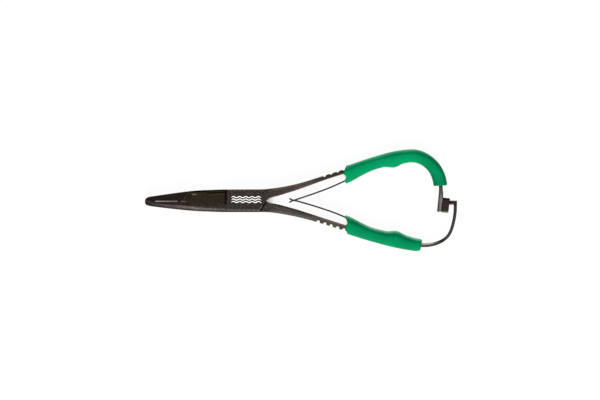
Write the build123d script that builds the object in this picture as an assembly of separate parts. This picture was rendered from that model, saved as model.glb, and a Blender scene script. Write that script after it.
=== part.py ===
from build123d import *
import math
import os

# Self-locking spring-opened fishing pliers (mitten clamp with scissor blades).
#
# Frame: origin on the pivot axis, where it meets the flat front of the joint.
# +X runs from the pivot to the handles, so the jaws point along -X.
# +Y is the side of the curved upper handle, +Z points out of the tool's front.
# The shapes below are built about the plane where the two halves lap, and
# save() moves each one back by half the joint's thickness as it is written.
# The tool is drawn closed. All lengths are in millimetres, angles in degrees.
#
# The front half is the lower jaw with the upper arm, the rear half the upper
# jaw with the lower arm. A side or sign is +1 towards +Y and -1 towards -Y.

# ------------------------------------------------------ jaws, joint and arms
JOINT_HALF_THICK = 2.4
LAP_GAP = 0.02              # each half's lap face stands this far off z = 0
JAW_ROOT_HALF_THICK = 2.25  # where the jaws start
JAW_END_HALF_THICK = 1.13   # at JAW_END_X
ARM_MID_HALF_THICK = 1.95
ARM_HALF_THICK = 1.6        # at the grips
ARM_END_HALF_THICK = 1.45
EDGE_ROUND = 0.35           # forged outer edges of both halves
PARTING_Y = -0.18           # the jaws close on this line
JAW_GAP = 0.02              # each jaw stands this far off the parting line

# Stations of the thickness, along X.
JAW_END_X = -47.0           # beyond the tip
JAW_ROOT_X = -26.0
JOINT_START_X = -18.0
JOINT_END_X = 12.0
ARM_MID_X = 30.0
GRIP_START_X = 46.0
ARM_END_X = 99.0            # beyond the arms

SHOULDER_TOP = (-24.20, 4.20)    # diagonal shoulder between jaw and blade
SHOULDER_LOW = (-26.85, PARTING_Y)
SHOULDER_GAP = 0.22
HEEL_TOP = (9.45, -0.35)         # diagonal shoulder between joint and arm
HEEL_LOW = (6.20, -5.20)
HEEL_GAP = 0.50

# Reaches of cutting shapes, past all of the metal.
PAST_TIP_X = -60.0
PAST_EDGE_Y = 20.0
PAST_FACE_Z = 5.0
DIAGONAL_OVERRUN = 4.0      # in y, past the drawn end of a diagonal shoulder

BLADE_FAR_X = -27.6         # the grind runs from here ...
BLADE_STEP_X = -8.15        # ... to a step near the pivot
BLADE_GRIND_Y = -2.30       # where the grind runs out on the face
BLADE_EDGE_Y = 3.50         # where it comes down to BLADE_EDGE_Z
BLADE_EDGE_Z = 0.42         # thickness left at the cutting edge
BLADE_PAST_Y = 9.0
BLADE_PAST_Z = 6.0
# The cutting edge runs a little out of line with the tool's axis.
BLADE_TRIM = [(-30, 3.96), (BLADE_STEP_X, 3.46), (BLADE_STEP_X, BLADE_PAST_Y), (-30, BLADE_PAST_Y)]
# The jaw beyond the blade, which is left out of the grind.
UNGROUND_JAW = [(PAST_TIP_X, -8), (-25.6, -8), (-27.4, 0.3), (PAST_TIP_X, 0.3)]

# Relief along the parting line: start x, end x, depth into each jaw.
RELIEFS = [(-39.9, -29.9, 0.13), (-28.6, -26.2, 0.08)]

# Outline of jaws and joint (x, y), from the joint's upper edge round the tip
# to its lower edge.
JAW_OUTLINE = [
    (-8.15, 5.08), (-12.50, 4.98), (-16.10, 4.86), (-19.70, 4.70),
    (-23.30, 4.46), (-26.88, 4.06), (-30.46, 3.58), (-34.05, 3.08),
    (-37.63, 2.58), (-41.22, 2.06), (-43.05, 1.66), (-44.15, 1.00),
    (-44.56, -0.30), (-44.12, -1.62), (-43.02, -2.16), (-41.22, -2.50),
    (-37.63, -2.98), (-34.05, -3.40), (-30.46, -3.78), (-26.88, -4.14),
    (-23.30, -4.45), (-19.70, -4.67), (-16.10, -4.83), (-12.50, -4.95),
    (-8.15, -5.03),
]
# Bare part of each arm (x, y), from the joint to the grip.
UPPER_ARM_OUTER = [
    (6.00, 5.14), (10.75, 5.35), (14.34, 5.80), (17.92, 6.38), (21.50, 7.12),
    (25.09, 8.00), (29.57, 9.34), (34.05, 10.77), (38.53, 12.19),
    (43.01, 13.60),
]
UPPER_ARM_INNER = [
    (9.80, 0.12), (10.75, 0.86), (14.34, 2.06), (17.92, 3.10), (21.50, 4.22),
    (25.09, 5.42), (29.57, 7.04), (34.05, 8.66), (38.53, 10.20),
    (43.01, 11.62),
]
LOWER_ARM_OUTER = [
    (6.00, -5.03), (10.75, -5.12), (14.34, -5.48), (17.92, -6.05),
    (21.50, -6.74), (25.09, -7.52), (29.57, -8.70), (34.05, -10.02),
    (38.53, -11.42), (43.01, -12.80),
]
LOWER_ARM_INNER = [
    (9.80, -0.10), (10.75, -0.66), (14.34, -1.48), (17.92, -2.38),
    (21.50, -3.34), (25.09, -4.42), (29.57, -5.86), (34.05, -7.30),
    (38.53, -8.74), (43.01, -10.20),
]
# Each arm inside its grip: centre x, centre y, half width.
UPPER_ARM_HIDDEN = [
    (47.60, 14.05, 1.02), (53.98, 16.06, 1.08), (60.70, 17.90, 1.12),
    (67.42, 19.26, 1.15), (71.90, 19.90, 1.15), (75.40, 20.02, 1.15),
    (78.62, 19.34, 1.15), (81.76, 17.48, 1.12), (84.45, 14.62, 1.05),
    (86.24, 11.60, 0.92), (87.40, 8.87, 0.78), (87.93, 6.40, 0.72),
    (87.98, 4.60, 0.82), (88.00, 2.80, 0.92), (87.88, 1.00, 1.00),
    (87.58, -1.70, 0.96), (87.27, -4.95, 0.94),
]
LOWER_ARM_HIDDEN = [
    (47.60, -12.90, 1.20), (53.98, -14.46, 1.20), (60.70, -16.04, 1.20),
    (65.18, -17.06, 1.20), (69.66, -18.02, 1.20), (72.40, -18.60, 1.48),
    (75.00, -19.12, 1.66), (77.60, -19.66, 1.66),
]
# Notches in the outer edge of each arm: the centre of each round floor.
# They open square to the arm.
NOTCH_R = 0.74
NOTCH_THROAT = 3.0
UPPER_NOTCH_ANGLE = 17.6
LOWER_NOTCH_ANGLE = -17.0
UPPER_NOTCHES = [(35.80, 11.50), (38.72, 12.52), (41.65, 13.45), (44.40, 14.32)]
LOWER_NOTCHES = [(33.02, -9.49), (35.97, -10.40), (38.80, -11.28), (41.71, -12.18),
                 (44.49, -13.04)]

# --------------------------------------------------------------------- pivot
BORE_FIT = 0.02             # radial room round threads, pins and rivets
PIVOT_R = 1.50
PIVOT_THREAD_R = 1.25
PIVOT_HEAD_R = 2.55
PIVOT_HEAD_H = PIVOT_HEAD_R - PIVOT_R    # the head is a 45 degree cone
PIVOT_HEAD_SUNK = 0.03      # the head lies this far below the rear face
PIVOT_CLEARANCE = 0.04
PIVOT_DEPTH = 1.80          # blind depth of the thread in the front half
PIVOT_END_GAP = 0.06        # thread length short of that depth
PIVOT_SLOT_WIDTH = 0.75

# -------------------------------------------------------------- leaf springs
LEAF_THICK = 0.55
LEAF_HALF_WIDTH = 1.60
TONGUE_HALF_WIDTH = 0.55
TONGUE_START_X = 25.6       # the tongue widens from here ...
TONGUE_ROOT_X = 30.0        # ... to the full leaf here
FORK_SLOT_HALF_WIDTH = 0.80
FORK_SLOT_END_X = 25.2      # centre of the slot's round end
FORK_SLOT_LENGTH = 12.0
PAST_TONGUE_X = 12.0
LEAF_CUT_Y = 12.0           # leaf cuts reach this far to both sides

# Centre lines (x, y), from the screwed root to the tip.
UPPER_LEAF = [
    (70.20, 18.15), (67.20, 17.71), (64.10, 17.03), (60.70, 15.94),
    (56.22, 14.06), (51.74, 12.02), (47.26, 9.98), (43.01, 8.02),
    (38.53, 6.02), (34.05, 4.30), (29.57, 2.70), (25.09, 1.20),
    (23.20, 0.56), (21.60, 0.06), (20.08, -0.72),
]
LOWER_LEAF = [
    (70.20, -16.51), (67.20, -15.91), (64.10, -15.11), (60.70, -14.10),
    (56.22, -12.42), (51.74, -10.50), (47.26, -8.38), (43.01, -6.44),
    (38.53, -4.72), (34.05, -3.22), (29.57, -1.82), (25.09, -0.52),
    (23.20, -0.02), (21.60, 0.30), (20.08, 1.04),
]
UPPER_SCREW_AT = UPPER_LEAF[1]
UPPER_SCREW_ANGLE = 10.0    # direction of the leaf at the screw
LOWER_SCREW_AT = LOWER_LEAF[1]
LOWER_SCREW_ANGLE = -12.8

SPRING_SCREW_R = 1.00
SPRING_SCREW_HEAD_R = 1.70
SPRING_SCREW_HEAD_H = 1.00
SPRING_SCREW_HEAD_ROUND = 0.35
SPRING_SCREW_REACH = 2.3    # shank length beyond the leaf's thickness
SPRING_SCREW_SLOT = (0.5, 0.6)   # depth, width
SPRING_SCREW_SEAT_GAP = 0.03
LEAF_HOLE_CLEARANCE = 0.12

# --------------------------------------------------------------------- grips
GRIP_HALF_THICK = 3.15
GRIP_EDGE_ROUNDS = (1.90, 1.6, 1.3, 1.0, 0.7)    # wanted radius, then fallbacks
GRIP_FIT = 0.08             # round the arm, in the grip's plane
GRIP_FACE_FIT = 0.14        # over the arm's faces
CORE_START_HALF_WIDTH = 1.05
LEAF_ROOM = 0.3             # beside the leaf's flat side
LEAF_ROOM_EDGE = 0.2        # beside the leaf's edges
LEAF_ROOM_MOUTH_H = 5.2
LEAF_ROOM_ROOT_H = 1.9
LEAF_ROOM_START_X = 42.0
POCKET_FIT = 0.08

# Outlines (x, y), each side then the mouth, in order round the grip.
UPPER_GRIP_OUTER = [
    (45.85, 15.55), (47.49, 16.26), (51.97, 17.80), (56.45, 19.28),
    (60.93, 20.64), (65.41, 21.82), (69.89, 22.66), (73.50, 23.06),
    (76.61, 23.02), (79.20, 22.40), (81.60, 21.34), (83.70, 20.02),
    (85.70, 18.32), (87.50, 16.22), (89.00, 13.70), (90.00, 11.20),
    (90.62, 8.80), (90.80, 7.15),
]
UPPER_GRIP_INNER = [
    (84.62, 6.75), (84.30, 8.80), (83.70, 10.80), (82.72, 12.72),
    (81.20, 14.50), (79.20, 16.00), (76.80, 16.98), (74.37, 17.18),
    (72.13, 16.84), (69.90, 16.20), (67.65, 15.10), (65.41, 14.86),
    (63.00, 15.08), (60.93, 14.72), (58.69, 14.06), (56.45, 13.18),
    (54.21, 12.14), (51.97, 10.98), (49.73, 9.72), (47.49, 8.48),
    (45.30, 7.55),
]
UPPER_GRIP_MOUTH = [(45.30, 7.55), (45.10, 8.60), (45.75, 10.40),
                    (44.60, 12.75), (44.85, 14.40), (45.85, 15.55)]
LOWER_GRIP_INNER = [
    (45.30, -6.25), (47.49, -7.24), (49.73, -8.38), (51.97, -9.58),
    (54.21, -10.70), (56.45, -11.66), (58.69, -12.42), (60.93, -13.00),
    (63.17, -13.48), (65.41, -13.62), (67.65, -13.52), (69.89, -14.30),
    (72.13, -15.32), (74.37, -16.08), (76.61, -16.66), (79.40, -17.25),
]
LOWER_GRIP_OUTER = [
    (78.45, -22.48), (76.61, -22.56), (74.37, -22.28), (69.89, -21.52),
    (65.41, -20.54), (60.93, -19.38), (56.45, -18.12), (51.97, -16.80),
    (47.60, -15.42), (45.90, -14.80),
]
LOWER_GRIP_MOUTH = [(45.90, -14.80), (45.20, -13.80), (45.10, -11.60),
                    (46.40, -9.60), (45.30, -7.60), (45.30, -6.25)]

# ----------------------------------------------------------------- catch rod
ROD_R = 0.68
ROD_EYE_R = 1.25
ROD_EYE_HALF_THICK = 0.55
EYE_PIN_CLEARANCE = 0.05
NECK_REACH = 2.0            # from the pin to the start of the bent wire
NECK_LENGTH = 2.6
FLAT_LENGTH = 3.7           # of the wire flattened in the fork
CATCH_PIN_R = 0.45
CATCH_PIN_LENGTH = 3.1
CATCH_PIN = (75.50, -19.28)      # the pin that holds the rod
ARM_END_ANGLE = -10.2            # direction of the lower arm's end
FORK_SIDE_GAP = 0.12             # each side of the rod's eye
FORK_DEPTH = 2.0                 # from the pin towards the joint
ROD_HOLE_CLEARANCE = 0.25        # round the eye, in the lower grip's end

# Path of the rod from its neck to the hook's corner, as tangent arcs through
# (x, y) and a last straight, in a plane that falls towards the back from
# ROD_FALL_Y.
ROD_ARCS = [(82.20, -19.83), (88.20, -18.10), (92.60, -13.00), (94.50, -2.50)]
ROD_FALL_Y = -19.90
ROD_CORNER_Y = -0.72
ROD_TIP_Z = -1.55           # z of the plane at ROD_CORNER_Y
HOOK_END = (89.60, -0.64)
HOOK_TAPER = 0.35           # length over which the hook thins
HOOK_TIP_LENGTH = 2.10
HOOK_TIP_R = 0.50
HOOK_TIP_ROUND = 0.2

# ------------------------------------------------------------- ratchet block
BLOCK = [(89.01, 1.43), (91.93, 1.12), (91.20, -5.36), (88.25, -5.15)]
BLOCK_BACK_Z = -0.90        # crests of the ratchet teeth
BLOCK_FRONT_Z = 2.20
BLOCK_CUT_X = 86.0          # cuts across the block start here
BLOCK_CUT_LENGTH = 8.0
# Slopes at the front's upper and lower ends: y of the cutter's corner in its
# own frame, y where the slope meets the front, tilt.
BLOCK_SLOPES = [(0, 0.52, -42), (-3, -4.55, 40)]
TOOTH_START_Y = -1.30
TOOTH_PITCH = 1.60
TOOTH_DEPTH = 0.55
TOOTH_COUNT = 3
TOOTH_FLOOR = 0.65
TOOTH_CREST = 0.12

RIVET_R = 0.50
RIVET_LENGTH = 3.6
RIVET_START = -1.05         # along the rivet's own axis
RIVET_HEAD_R = 1.8 * RIVET_R
RIVET_HEAD_H = 0.45
RIVET_HEAD_START = -1.54
RIVET_HEAD_ROUND = 0.3
RIVET_ANGLE = -5.5
RIVET_X = 87.75             # of the upper rivet
RIVET_Z = 0.35
RIVET_YS = (-0.55, -3.35)

ALONG_X = (1, 0, 0)
ALONG_Y = (0, 1, 0)


# ------------------------------------------------------------------- helpers
def save(shape, node):
    export_step(shape.moved(Location((0, 0, -JOINT_HALF_THICK))), "parts/" + node + ".step")


def smooth(points, tangents=None):
    return Edge.make_spline([Vector(*p) for p in points], tangents=tangents)


def straight(points):
    return [Edge.make_line(Vector(*a), Vector(*b)) for a, b in zip(points[:-1], points[1:])]


def face_of(edges):
    return Face(Wire(edges))


def polygon_face(points):
    return face_of(straight(points + [points[0]]))


def prism(face, bottom, top):
    return Solid.extrude(face.moved(Location((0, 0, bottom))), Vector(0, 0, top - bottom))


def polygon(points, bottom, top):
    return prism(polygon_face(points), bottom, top)


def cylinder(radius, length, start, axis):
    return Solid.make_cylinder(radius, length, Plane(start, z_dir=axis))


def along(point, angle):
    """Frame at point, x along angle, y across it, z up."""
    return Location((point[0], point[1], 0), (0, 0, angle))


def solid_of(shape):
    """The largest solid."""
    return max(shape.solids(), key=lambda solid: solid.volume)


def cut(body, *tools):
    """Cuts the tools away one by one, keeping the largest solid each time."""
    for tool in tools:
        body = solid_of(body - tool)
    return body


def sides(centre, half):
    """Points to the left and right of a centre line; half is a number or a list."""
    line = smooth(centre)
    count = 4 * len(centre)
    left, right = [], []
    for i in range(count + 1):
        point = line @ (i / count)
        heading = (line % (i / count)).normalized()
        width = half
        if not isinstance(half, (int, float)):
            # Weighted between the two nearest centre points.
            near = sorted((math.hypot(x - point.X, y - point.Y), k)
                          for k, (x, y) in enumerate(centre))
            (dist_a, a), (dist_b, b) = near[:2]
            width = (half[a] * dist_b + half[b] * dist_a) / max(dist_a + dist_b, 1e-9)
        left.append((point.X - heading.Y * width, point.Y + heading.X * width))
        right.append((point.X + heading.Y * width, point.Y - heading.X * width))
    return left, right


def strip_face(centre, half):
    """A band along a centre line."""
    left, right = sides(centre, half)
    return face_of([smooth(left), *straight([left[-1], right[-1]]),
                    smooth(right), *straight([right[0], left[0]])])


def extended(start, end, rise):
    """The point on the line start-end that lies rise in y past end."""
    slope = (end[0] - start[0]) / (end[1] - start[1])
    return (end[0] + slope * rise, end[1] + rise)


SHOULDER_OUT = extended(SHOULDER_LOW, SHOULDER_TOP, DIAGONAL_OVERRUN)
HEEL_OUT = extended(HEEL_TOP, HEEL_LOW, -DIAGONAL_OVERRUN)
UPPER_SCREW_FRAME = along(UPPER_SCREW_AT, UPPER_SCREW_ANGLE)
LOWER_SCREW_FRAME = along(LOWER_SCREW_AT, LOWER_SCREW_ANGLE)
CATCH_PIN_FRAME = along(CATCH_PIN, ARM_END_ANGLE)
# The rivets stand side by side, square to their axes.
RIVET_FRAMES = [
    Location((RIVET_X - (y - RIVET_YS[0]) * math.tan(math.radians(RIVET_ANGLE)), y, RIVET_Z),
             (0, 0, RIVET_ANGLE))
    for y in RIVET_YS
]


# ------------------------------------------------------------ the two halves
def side_profile():
    """Seen along Y: thin at the tip, full at the joint, thinner arms."""
    jaw_end = Vector(JAW_END_X, 0, JAW_END_HALF_THICK)
    jaw_root = Vector(JAW_ROOT_X, 0, JAW_ROOT_HALF_THICK)
    joint_start = Vector(JOINT_START_X, 0, JOINT_HALF_THICK)
    joint_end = Vector(JOINT_END_X, 0, JOINT_HALF_THICK)
    arm_mid = Vector(ARM_MID_X, 0, ARM_MID_HALF_THICK)
    grip_start = Vector(GRIP_START_X, 0, ARM_HALF_THICK)
    arm_end = Vector(ARM_END_X, 0, ARM_END_HALF_THICK)
    level = Vector(1, 0, 0)
    upper = [
        Edge.make_line(jaw_end, jaw_root),
        Edge.make_spline([jaw_root, joint_start], tangents=[jaw_root - jaw_end, level]),
        Edge.make_line(joint_start, joint_end),
        Edge.make_spline([joint_end, arm_mid, grip_start], tangents=[level, level]),
        Edge.make_line(grip_start, arm_end),
    ]
    lower = [e.mirror(Plane.XY) for e in upper]
    arm_close = Edge.make_line(upper[-1] @ 1, lower[-1] @ 1)
    jaw_close = Edge.make_line(upper[0] @ 0, lower[0] @ 0)
    face = face_of(upper + [arm_close] + lower + [jaw_close])
    return Solid.extrude(face.moved(Location((0, 40, 0))), Vector(0, -80, 0))


PROFILE = side_profile()


def on_face(edge):
    """An edge that runs along the outline, not one that crosses the thickness."""
    start, end, middle = edge @ 0, edge @ 1, edge @ 0.5
    off_centre = all(abs(p.Z) > 0.9 for p in (start, end, middle))
    return off_centre and start.Z * end.Z > 0 and edge.length > 1.0


def half_blank(arm_outer, arm_inner, hidden, heel_y, sign):
    """Both jaws, joint and one arm, full thickness, with rounded long edges."""
    left, right = sides([(x, y) for x, y, _ in hidden], [width for _, _, width in hidden])
    outer_hidden, inner_hidden = (left, right) if sign > 0 else (right, left)
    outer = smooth(arm_outer + outer_hidden[1:])
    inner = smooth(arm_inner + inner_hidden[1:])
    jaw_points = JAW_OUTLINE if sign > 0 else JAW_OUTLINE[::-1]
    jaw = smooth(jaw_points, tangents=[Vector(-1, 0), Vector(1, 0)])
    heel_top = (HEEL_TOP[0], sign * HEEL_TOP[1])
    heel_low = (HEEL_LOW[0], heel_y)
    edges = [
        Edge.make_line(jaw @ 0, Vector(*arm_outer[0])),
        outer, Edge.make_line(outer @ 1, inner @ 1), inner,
        *straight([arm_inner[0], heel_top, heel_low]),
        Edge.make_line(Vector(*heel_low), jaw @ 1), jaw,
    ]
    blank = solid_of(prism(face_of(edges), -4, 4) & PROFILE)
    return blank.fillet(EDGE_ROUND, [e for e in blank.edges() if on_face(e)])


def jaw_region(side):
    """Outline round the jaw on one side of the parting line."""
    parting = PARTING_Y - side * JAW_GAP
    return [(PAST_TIP_X, parting), (SHOULDER_LOW[0], parting),
            (SHOULDER_OUT[0], side * SHOULDER_OUT[1]),
            (SHOULDER_OUT[0], side * PAST_EDGE_Y), (PAST_TIP_X, side * PAST_EDGE_Y)]


def lap_region(side):
    """Outline of one layer of the lap with its gaps: +1 front layer, -1 rear."""
    low_x = SHOULDER_LOW[0] - SHOULDER_GAP
    shoulder_x = SHOULDER_OUT[0] - SHOULDER_GAP
    heel_top_x = HEEL_TOP[0] + HEEL_GAP
    heel_x = HEEL_OUT[0] + HEEL_GAP
    arm_x = HEEL_TOP[0] + 3
    points = [
        (low_x, -0.6),
        (low_x, side * PARTING_Y),    # the one point that is not mirrored
        (shoulder_x, SHOULDER_OUT[1]), (shoulder_x, PAST_EDGE_Y),
        (heel_x, PAST_EDGE_Y), (arm_x, 12), (arm_x, 0.06),
        (HEEL_TOP[0] + 0.55, 0.06), (heel_top_x, -0.1), (heel_top_x, HEEL_TOP[1]),
        (heel_x, HEEL_OUT[1]), (heel_x, -PAST_EDGE_Y),
        (shoulder_x, -PAST_EDGE_Y), (low_x, -8),
    ]
    return [(x, side * y) for x, y in points]


def blade_cuts():
    """Front half's grind, falling from the spine to the edge, and the edge's trim."""
    fall = (JOINT_HALF_THICK - BLADE_EDGE_Z) / (BLADE_EDGE_Y - BLADE_GRIND_Y)
    wedge = polygon_face([
        (0, BLADE_GRIND_Y, JOINT_HALF_THICK),
        (0, BLADE_PAST_Y, JOINT_HALF_THICK - fall * (BLADE_PAST_Y - BLADE_GRIND_Y)),
        (0, BLADE_PAST_Y, BLADE_PAST_Z),
        (0, BLADE_GRIND_Y, BLADE_PAST_Z),
    ])
    run = Solid.extrude(wedge.moved(Location((BLADE_FAR_X, 0, 0))),
                        Vector(BLADE_STEP_X - BLADE_FAR_X, 0, 0))
    grind = run - polygon(UNGROUND_JAW, -BLADE_PAST_Z, BLADE_PAST_Z)
    return [grind, polygon(BLADE_TRIM, 0.0, BLADE_PAST_Z)]


def relief(start_x, end_x, depth):
    low, high = PARTING_Y - depth, PARTING_Y + depth
    return polygon([(start_x, low), (end_x, low), (end_x, high), (start_x, high)],
                   -PAST_FACE_Z, PAST_FACE_Z)


def notch(centre, angle, side):
    floor = Solid.make_cylinder(NOTCH_R, 2 * PAST_FACE_Z, Plane((0, 0, -PAST_FACE_Z)))
    throat_y = 0 if side > 0 else -NOTCH_THROAT
    throat = Solid.make_box(2 * NOTCH_R, NOTCH_THROAT, 2 * PAST_FACE_Z,
                            Plane((-NOTCH_R, throat_y, -PAST_FACE_Z)))
    return (floor + throat).moved(along(centre, angle))


def plain_half(blank, notches, notch_angle, side):
    """One half without its holes; side is that of its arm."""
    blade = blade_cuts()
    if side > 0:
        lap = polygon(lap_region(-1), -PAST_FACE_Z, LAP_GAP)
    else:
        lap = polygon(lap_region(+1), -LAP_GAP, PAST_FACE_Z)
        # The rear blade is the front one turned half round the X axis.
        blade = [tool.moved(Location((0, 0, 0), (180, 0, 0))) for tool in blade]
    return cut(blank, polygon(jaw_region(side), -PAST_FACE_Z, PAST_FACE_Z), lap, *blade,
               *[relief(*row) for row in RELIEFS],
               *[notch(centre, notch_angle, side) for centre in notches])


def cross_bore(radius, frame, length=8):
    """A bore across the arm's width, along y of the frame."""
    return cylinder(radius, length, (0, -length / 2, 0), ALONG_Y).moved(frame)


def rivet_holes():
    return [cylinder(RIVET_R + BORE_FIT, 3.9, (-1.2, 0, 0), ALONG_X).moved(frame)
            for frame in RIVET_FRAMES]


def front_half():
    # The heel corner lies on the other arm's outer edge.
    blank = half_blank(UPPER_ARM_OUTER, UPPER_ARM_INNER, UPPER_ARM_HIDDEN,
                       LOWER_ARM_OUTER[0][1], +1)
    thread = Solid.make_cylinder(PIVOT_THREAD_R + BORE_FIT, PIVOT_DEPTH + 1, Plane((0, 0, -1)))
    return cut(plain_half(blank, UPPER_NOTCHES, UPPER_NOTCH_ANGLE, +1), thread,
               cross_bore(SPRING_SCREW_R + BORE_FIT, UPPER_SCREW_FRAME), *rivet_holes())


def rear_half():
    blank = half_blank(LOWER_ARM_OUTER, LOWER_ARM_INNER, LOWER_ARM_HIDDEN,
                       UPPER_ARM_OUTER[0][1], -1)
    running_hole = Solid.make_cylinder(PIVOT_R + PIVOT_CLEARANCE, 6, Plane((0, 0, -3)))
    # The countersink's cone starts 1 mm outside the rear face.
    countersink = Solid.make_cone(PIVOT_HEAD_R + 0.06 + 1.0, PIVOT_R + 0.05, PIVOT_HEAD_H + 1.0,
                                  Plane((0, 0, -JOINT_HALF_THICK - 1.0)))
    fork_half = ROD_EYE_HALF_THICK + FORK_SIDE_GAP
    fork = Solid.make_box(8, 2 * fork_half, 8, Plane((-FORK_DEPTH, -fork_half, -4)))
    return cut(plain_half(blank, LOWER_NOTCHES, LOWER_NOTCH_ANGLE, -1),
               running_hole, countersink,
               cross_bore(SPRING_SCREW_R + BORE_FIT, LOWER_SCREW_FRAME),
               fork.moved(CATCH_PIN_FRAME),
               cross_bore(CATCH_PIN_R + BORE_FIT, CATCH_PIN_FRAME))


def pivot_screw():
    """Slotted countersunk head at the rear, shoulder, then thread."""
    head_z = -JOINT_HALF_THICK + PIVOT_HEAD_SUNK
    shoulder_z = head_z + PIVOT_HEAD_H
    screw = Solid.make_cone(PIVOT_HEAD_R, PIVOT_R, PIVOT_HEAD_H, Plane((0, 0, head_z)))
    screw = screw + Solid.make_cylinder(PIVOT_R, -shoulder_z - 0.01, Plane((0, 0, shoulder_z)))
    screw = screw + Solid.make_cylinder(PIVOT_THREAD_R, PIVOT_DEPTH - PIVOT_END_GAP,
                                        Plane((0, 0, -0.02)))
    slot = Solid.make_box(6, PIVOT_SLOT_WIDTH, 0.7,
                          Plane((-3, -PIVOT_SLOT_WIDTH / 2, -JOINT_HALF_THICK - 0.1)))
    return cut(screw, slot)


# ------------------------------------------------- leaf springs, their screws
def tongue_cuts():
    """Taper the leaf to a single tongue at its tip."""
    cuts = []
    for side in (1, -1):
        face = polygon_face([
            (PAST_TONGUE_X, 0, side * TONGUE_HALF_WIDTH),
            (TONGUE_START_X, 0, side * TONGUE_HALF_WIDTH),
            (TONGUE_ROOT_X, 0, side * (LEAF_HALF_WIDTH + 0.01)),
            (TONGUE_ROOT_X, 0, side * 4),
            (PAST_TONGUE_X, 0, side * 4),
        ])
        cuts.append(Solid.extrude(face.moved(Location((0, -LEAF_CUT_Y, 0))),
                                  Vector(0, 2 * LEAF_CUT_Y, 0)))
    return cuts


def fork_slot():
    """Splits the leaf's tip into a fork."""
    slot = Solid.make_box(
        FORK_SLOT_LENGTH, 2 * LEAF_CUT_Y, 2 * FORK_SLOT_HALF_WIDTH,
        Plane((FORK_SLOT_END_X - FORK_SLOT_LENGTH, -LEAF_CUT_Y, -FORK_SLOT_HALF_WIDTH)))
    return slot + cylinder(FORK_SLOT_HALF_WIDTH, 2 * LEAF_CUT_Y,
                           (FORK_SLOT_END_X, -LEAF_CUT_Y, 0), ALONG_Y)


def leaf_spring(centre, screw_frame, tip_cuts):
    body = prism(strip_face(centre, LEAF_THICK / 2), -LEAF_HALF_WIDTH, LEAF_HALF_WIDTH)
    hole = cross_bore(SPRING_SCREW_R + LEAF_HOLE_CLEARANCE, screw_frame, 6)
    return cut(body, *tip_cuts, hole)


def spring_screw(frame, side):
    """Screw through the leaf into the arm; side is +1 when the arm lies above."""
    seat = -(LEAF_THICK / 2 + SPRING_SCREW_SEAT_GAP)
    head_y = seat - SPRING_SCREW_HEAD_H
    head = cylinder(SPRING_SCREW_HEAD_R, SPRING_SCREW_HEAD_H, (0, head_y, 0), ALONG_Y)
    rim = [e for e in head.edges() if abs(e.center().Y - head_y) < 0.01]
    head = head.fillet(SPRING_SCREW_HEAD_ROUND, rim[:1])
    shank = cylinder(SPRING_SCREW_R, SPRING_SCREW_REACH + LEAF_THICK, (0, seat - 0.02, 0), ALONG_Y)
    slot_depth, slot_width = SPRING_SCREW_SLOT
    slot = Solid.make_box(6, slot_depth, slot_width, Plane((-3, head_y - 0.02, -slot_width / 2)))
    body = cut(solid_of(head + shank), slot)
    if side < 0:
        body = body.mirror(Plane.XZ)
    return body.moved(frame)


# --------------------------------------------------------- catch rod and pin
def catch_pin():
    return cross_bore(CATCH_PIN_R, CATCH_PIN_FRAME, CATCH_PIN_LENGTH)


def in_rod_plane(x, y):
    fall = ROD_TIP_Z / (ROD_CORNER_Y - ROD_FALL_Y)
    return Vector(x, y, fall * (y - ROD_FALL_Y))


def catch_rod():
    angle = math.radians(ARM_END_ANGLE)
    arm_end = Vector(math.cos(angle), math.sin(angle), 0)
    neck_end = Vector(CATCH_PIN[0], CATCH_PIN[1], 0) + arm_end * NECK_REACH
    start = in_rod_plane(neck_end.X, neck_end.Y)
    heading = in_rod_plane(neck_end.X + arm_end.X, neck_end.Y + arm_end.Y) - start

    path = []
    here, going = start, heading
    for x, y in ROD_ARCS:
        arc = Edge.make_tangent_arc(here, going, in_rod_plane(x, y))
        path.append(arc)
        here, going = arc @ 1, arc % 1
    corner = here + going * ((ROD_CORNER_Y - here.Y) / going.Y)
    taper_start = in_rod_plane(HOOK_END[0] + HOOK_TAPER + HOOK_TIP_LENGTH, HOOK_END[1])
    path.append(Edge.make_line(here, corner))
    path.append(Edge.make_line(corner, taper_start))
    ring = Face(Wire(Edge.make_circle(ROD_R, Plane(start, z_dir=heading))))
    rod = solid_of(sweep(sections=ring, path=Wire(path), transition=Transition.RIGHT))

    # The neck joins eye and wire, flattened where it lies in the fork.
    neck = cylinder(ROD_R, NECK_LENGTH, start - heading.normalized() * NECK_LENGTH, heading)
    flatten = (Solid.make_box(FLAT_LENGTH, 3, 6, Plane((-FORK_DEPTH, ROD_EYE_HALF_THICK, -3)))
               + Solid.make_box(FLAT_LENGTH, 3, 6,
                                Plane((-FORK_DEPTH, -3 - ROD_EYE_HALF_THICK, -3))))
    neck = neck - flatten.moved(CATCH_PIN_FRAME)
    eye = cross_bore(ROD_EYE_R, CATCH_PIN_FRAME, 2 * ROD_EYE_HALF_THICK)

    hook_heading = taper_start - corner
    taper = Solid.make_cone(ROD_R, HOOK_TIP_R, HOOK_TAPER, Plane(taper_start, z_dir=hook_heading))
    tip_start = taper_start + hook_heading.normalized() * HOOK_TAPER
    tip = cylinder(HOOK_TIP_R, HOOK_TIP_LENGTH, tip_start, hook_heading)
    tip = tip.fillet(HOOK_TIP_ROUND, [min(tip.edges(), key=lambda e: e.center().X)])

    for piece in (neck, eye, taper, tip):
        rod = solid_of(rod + piece)
    return cut(rod, cross_bore(CATCH_PIN_R + EYE_PIN_CLEARANCE, CATCH_PIN_FRAME))


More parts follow.
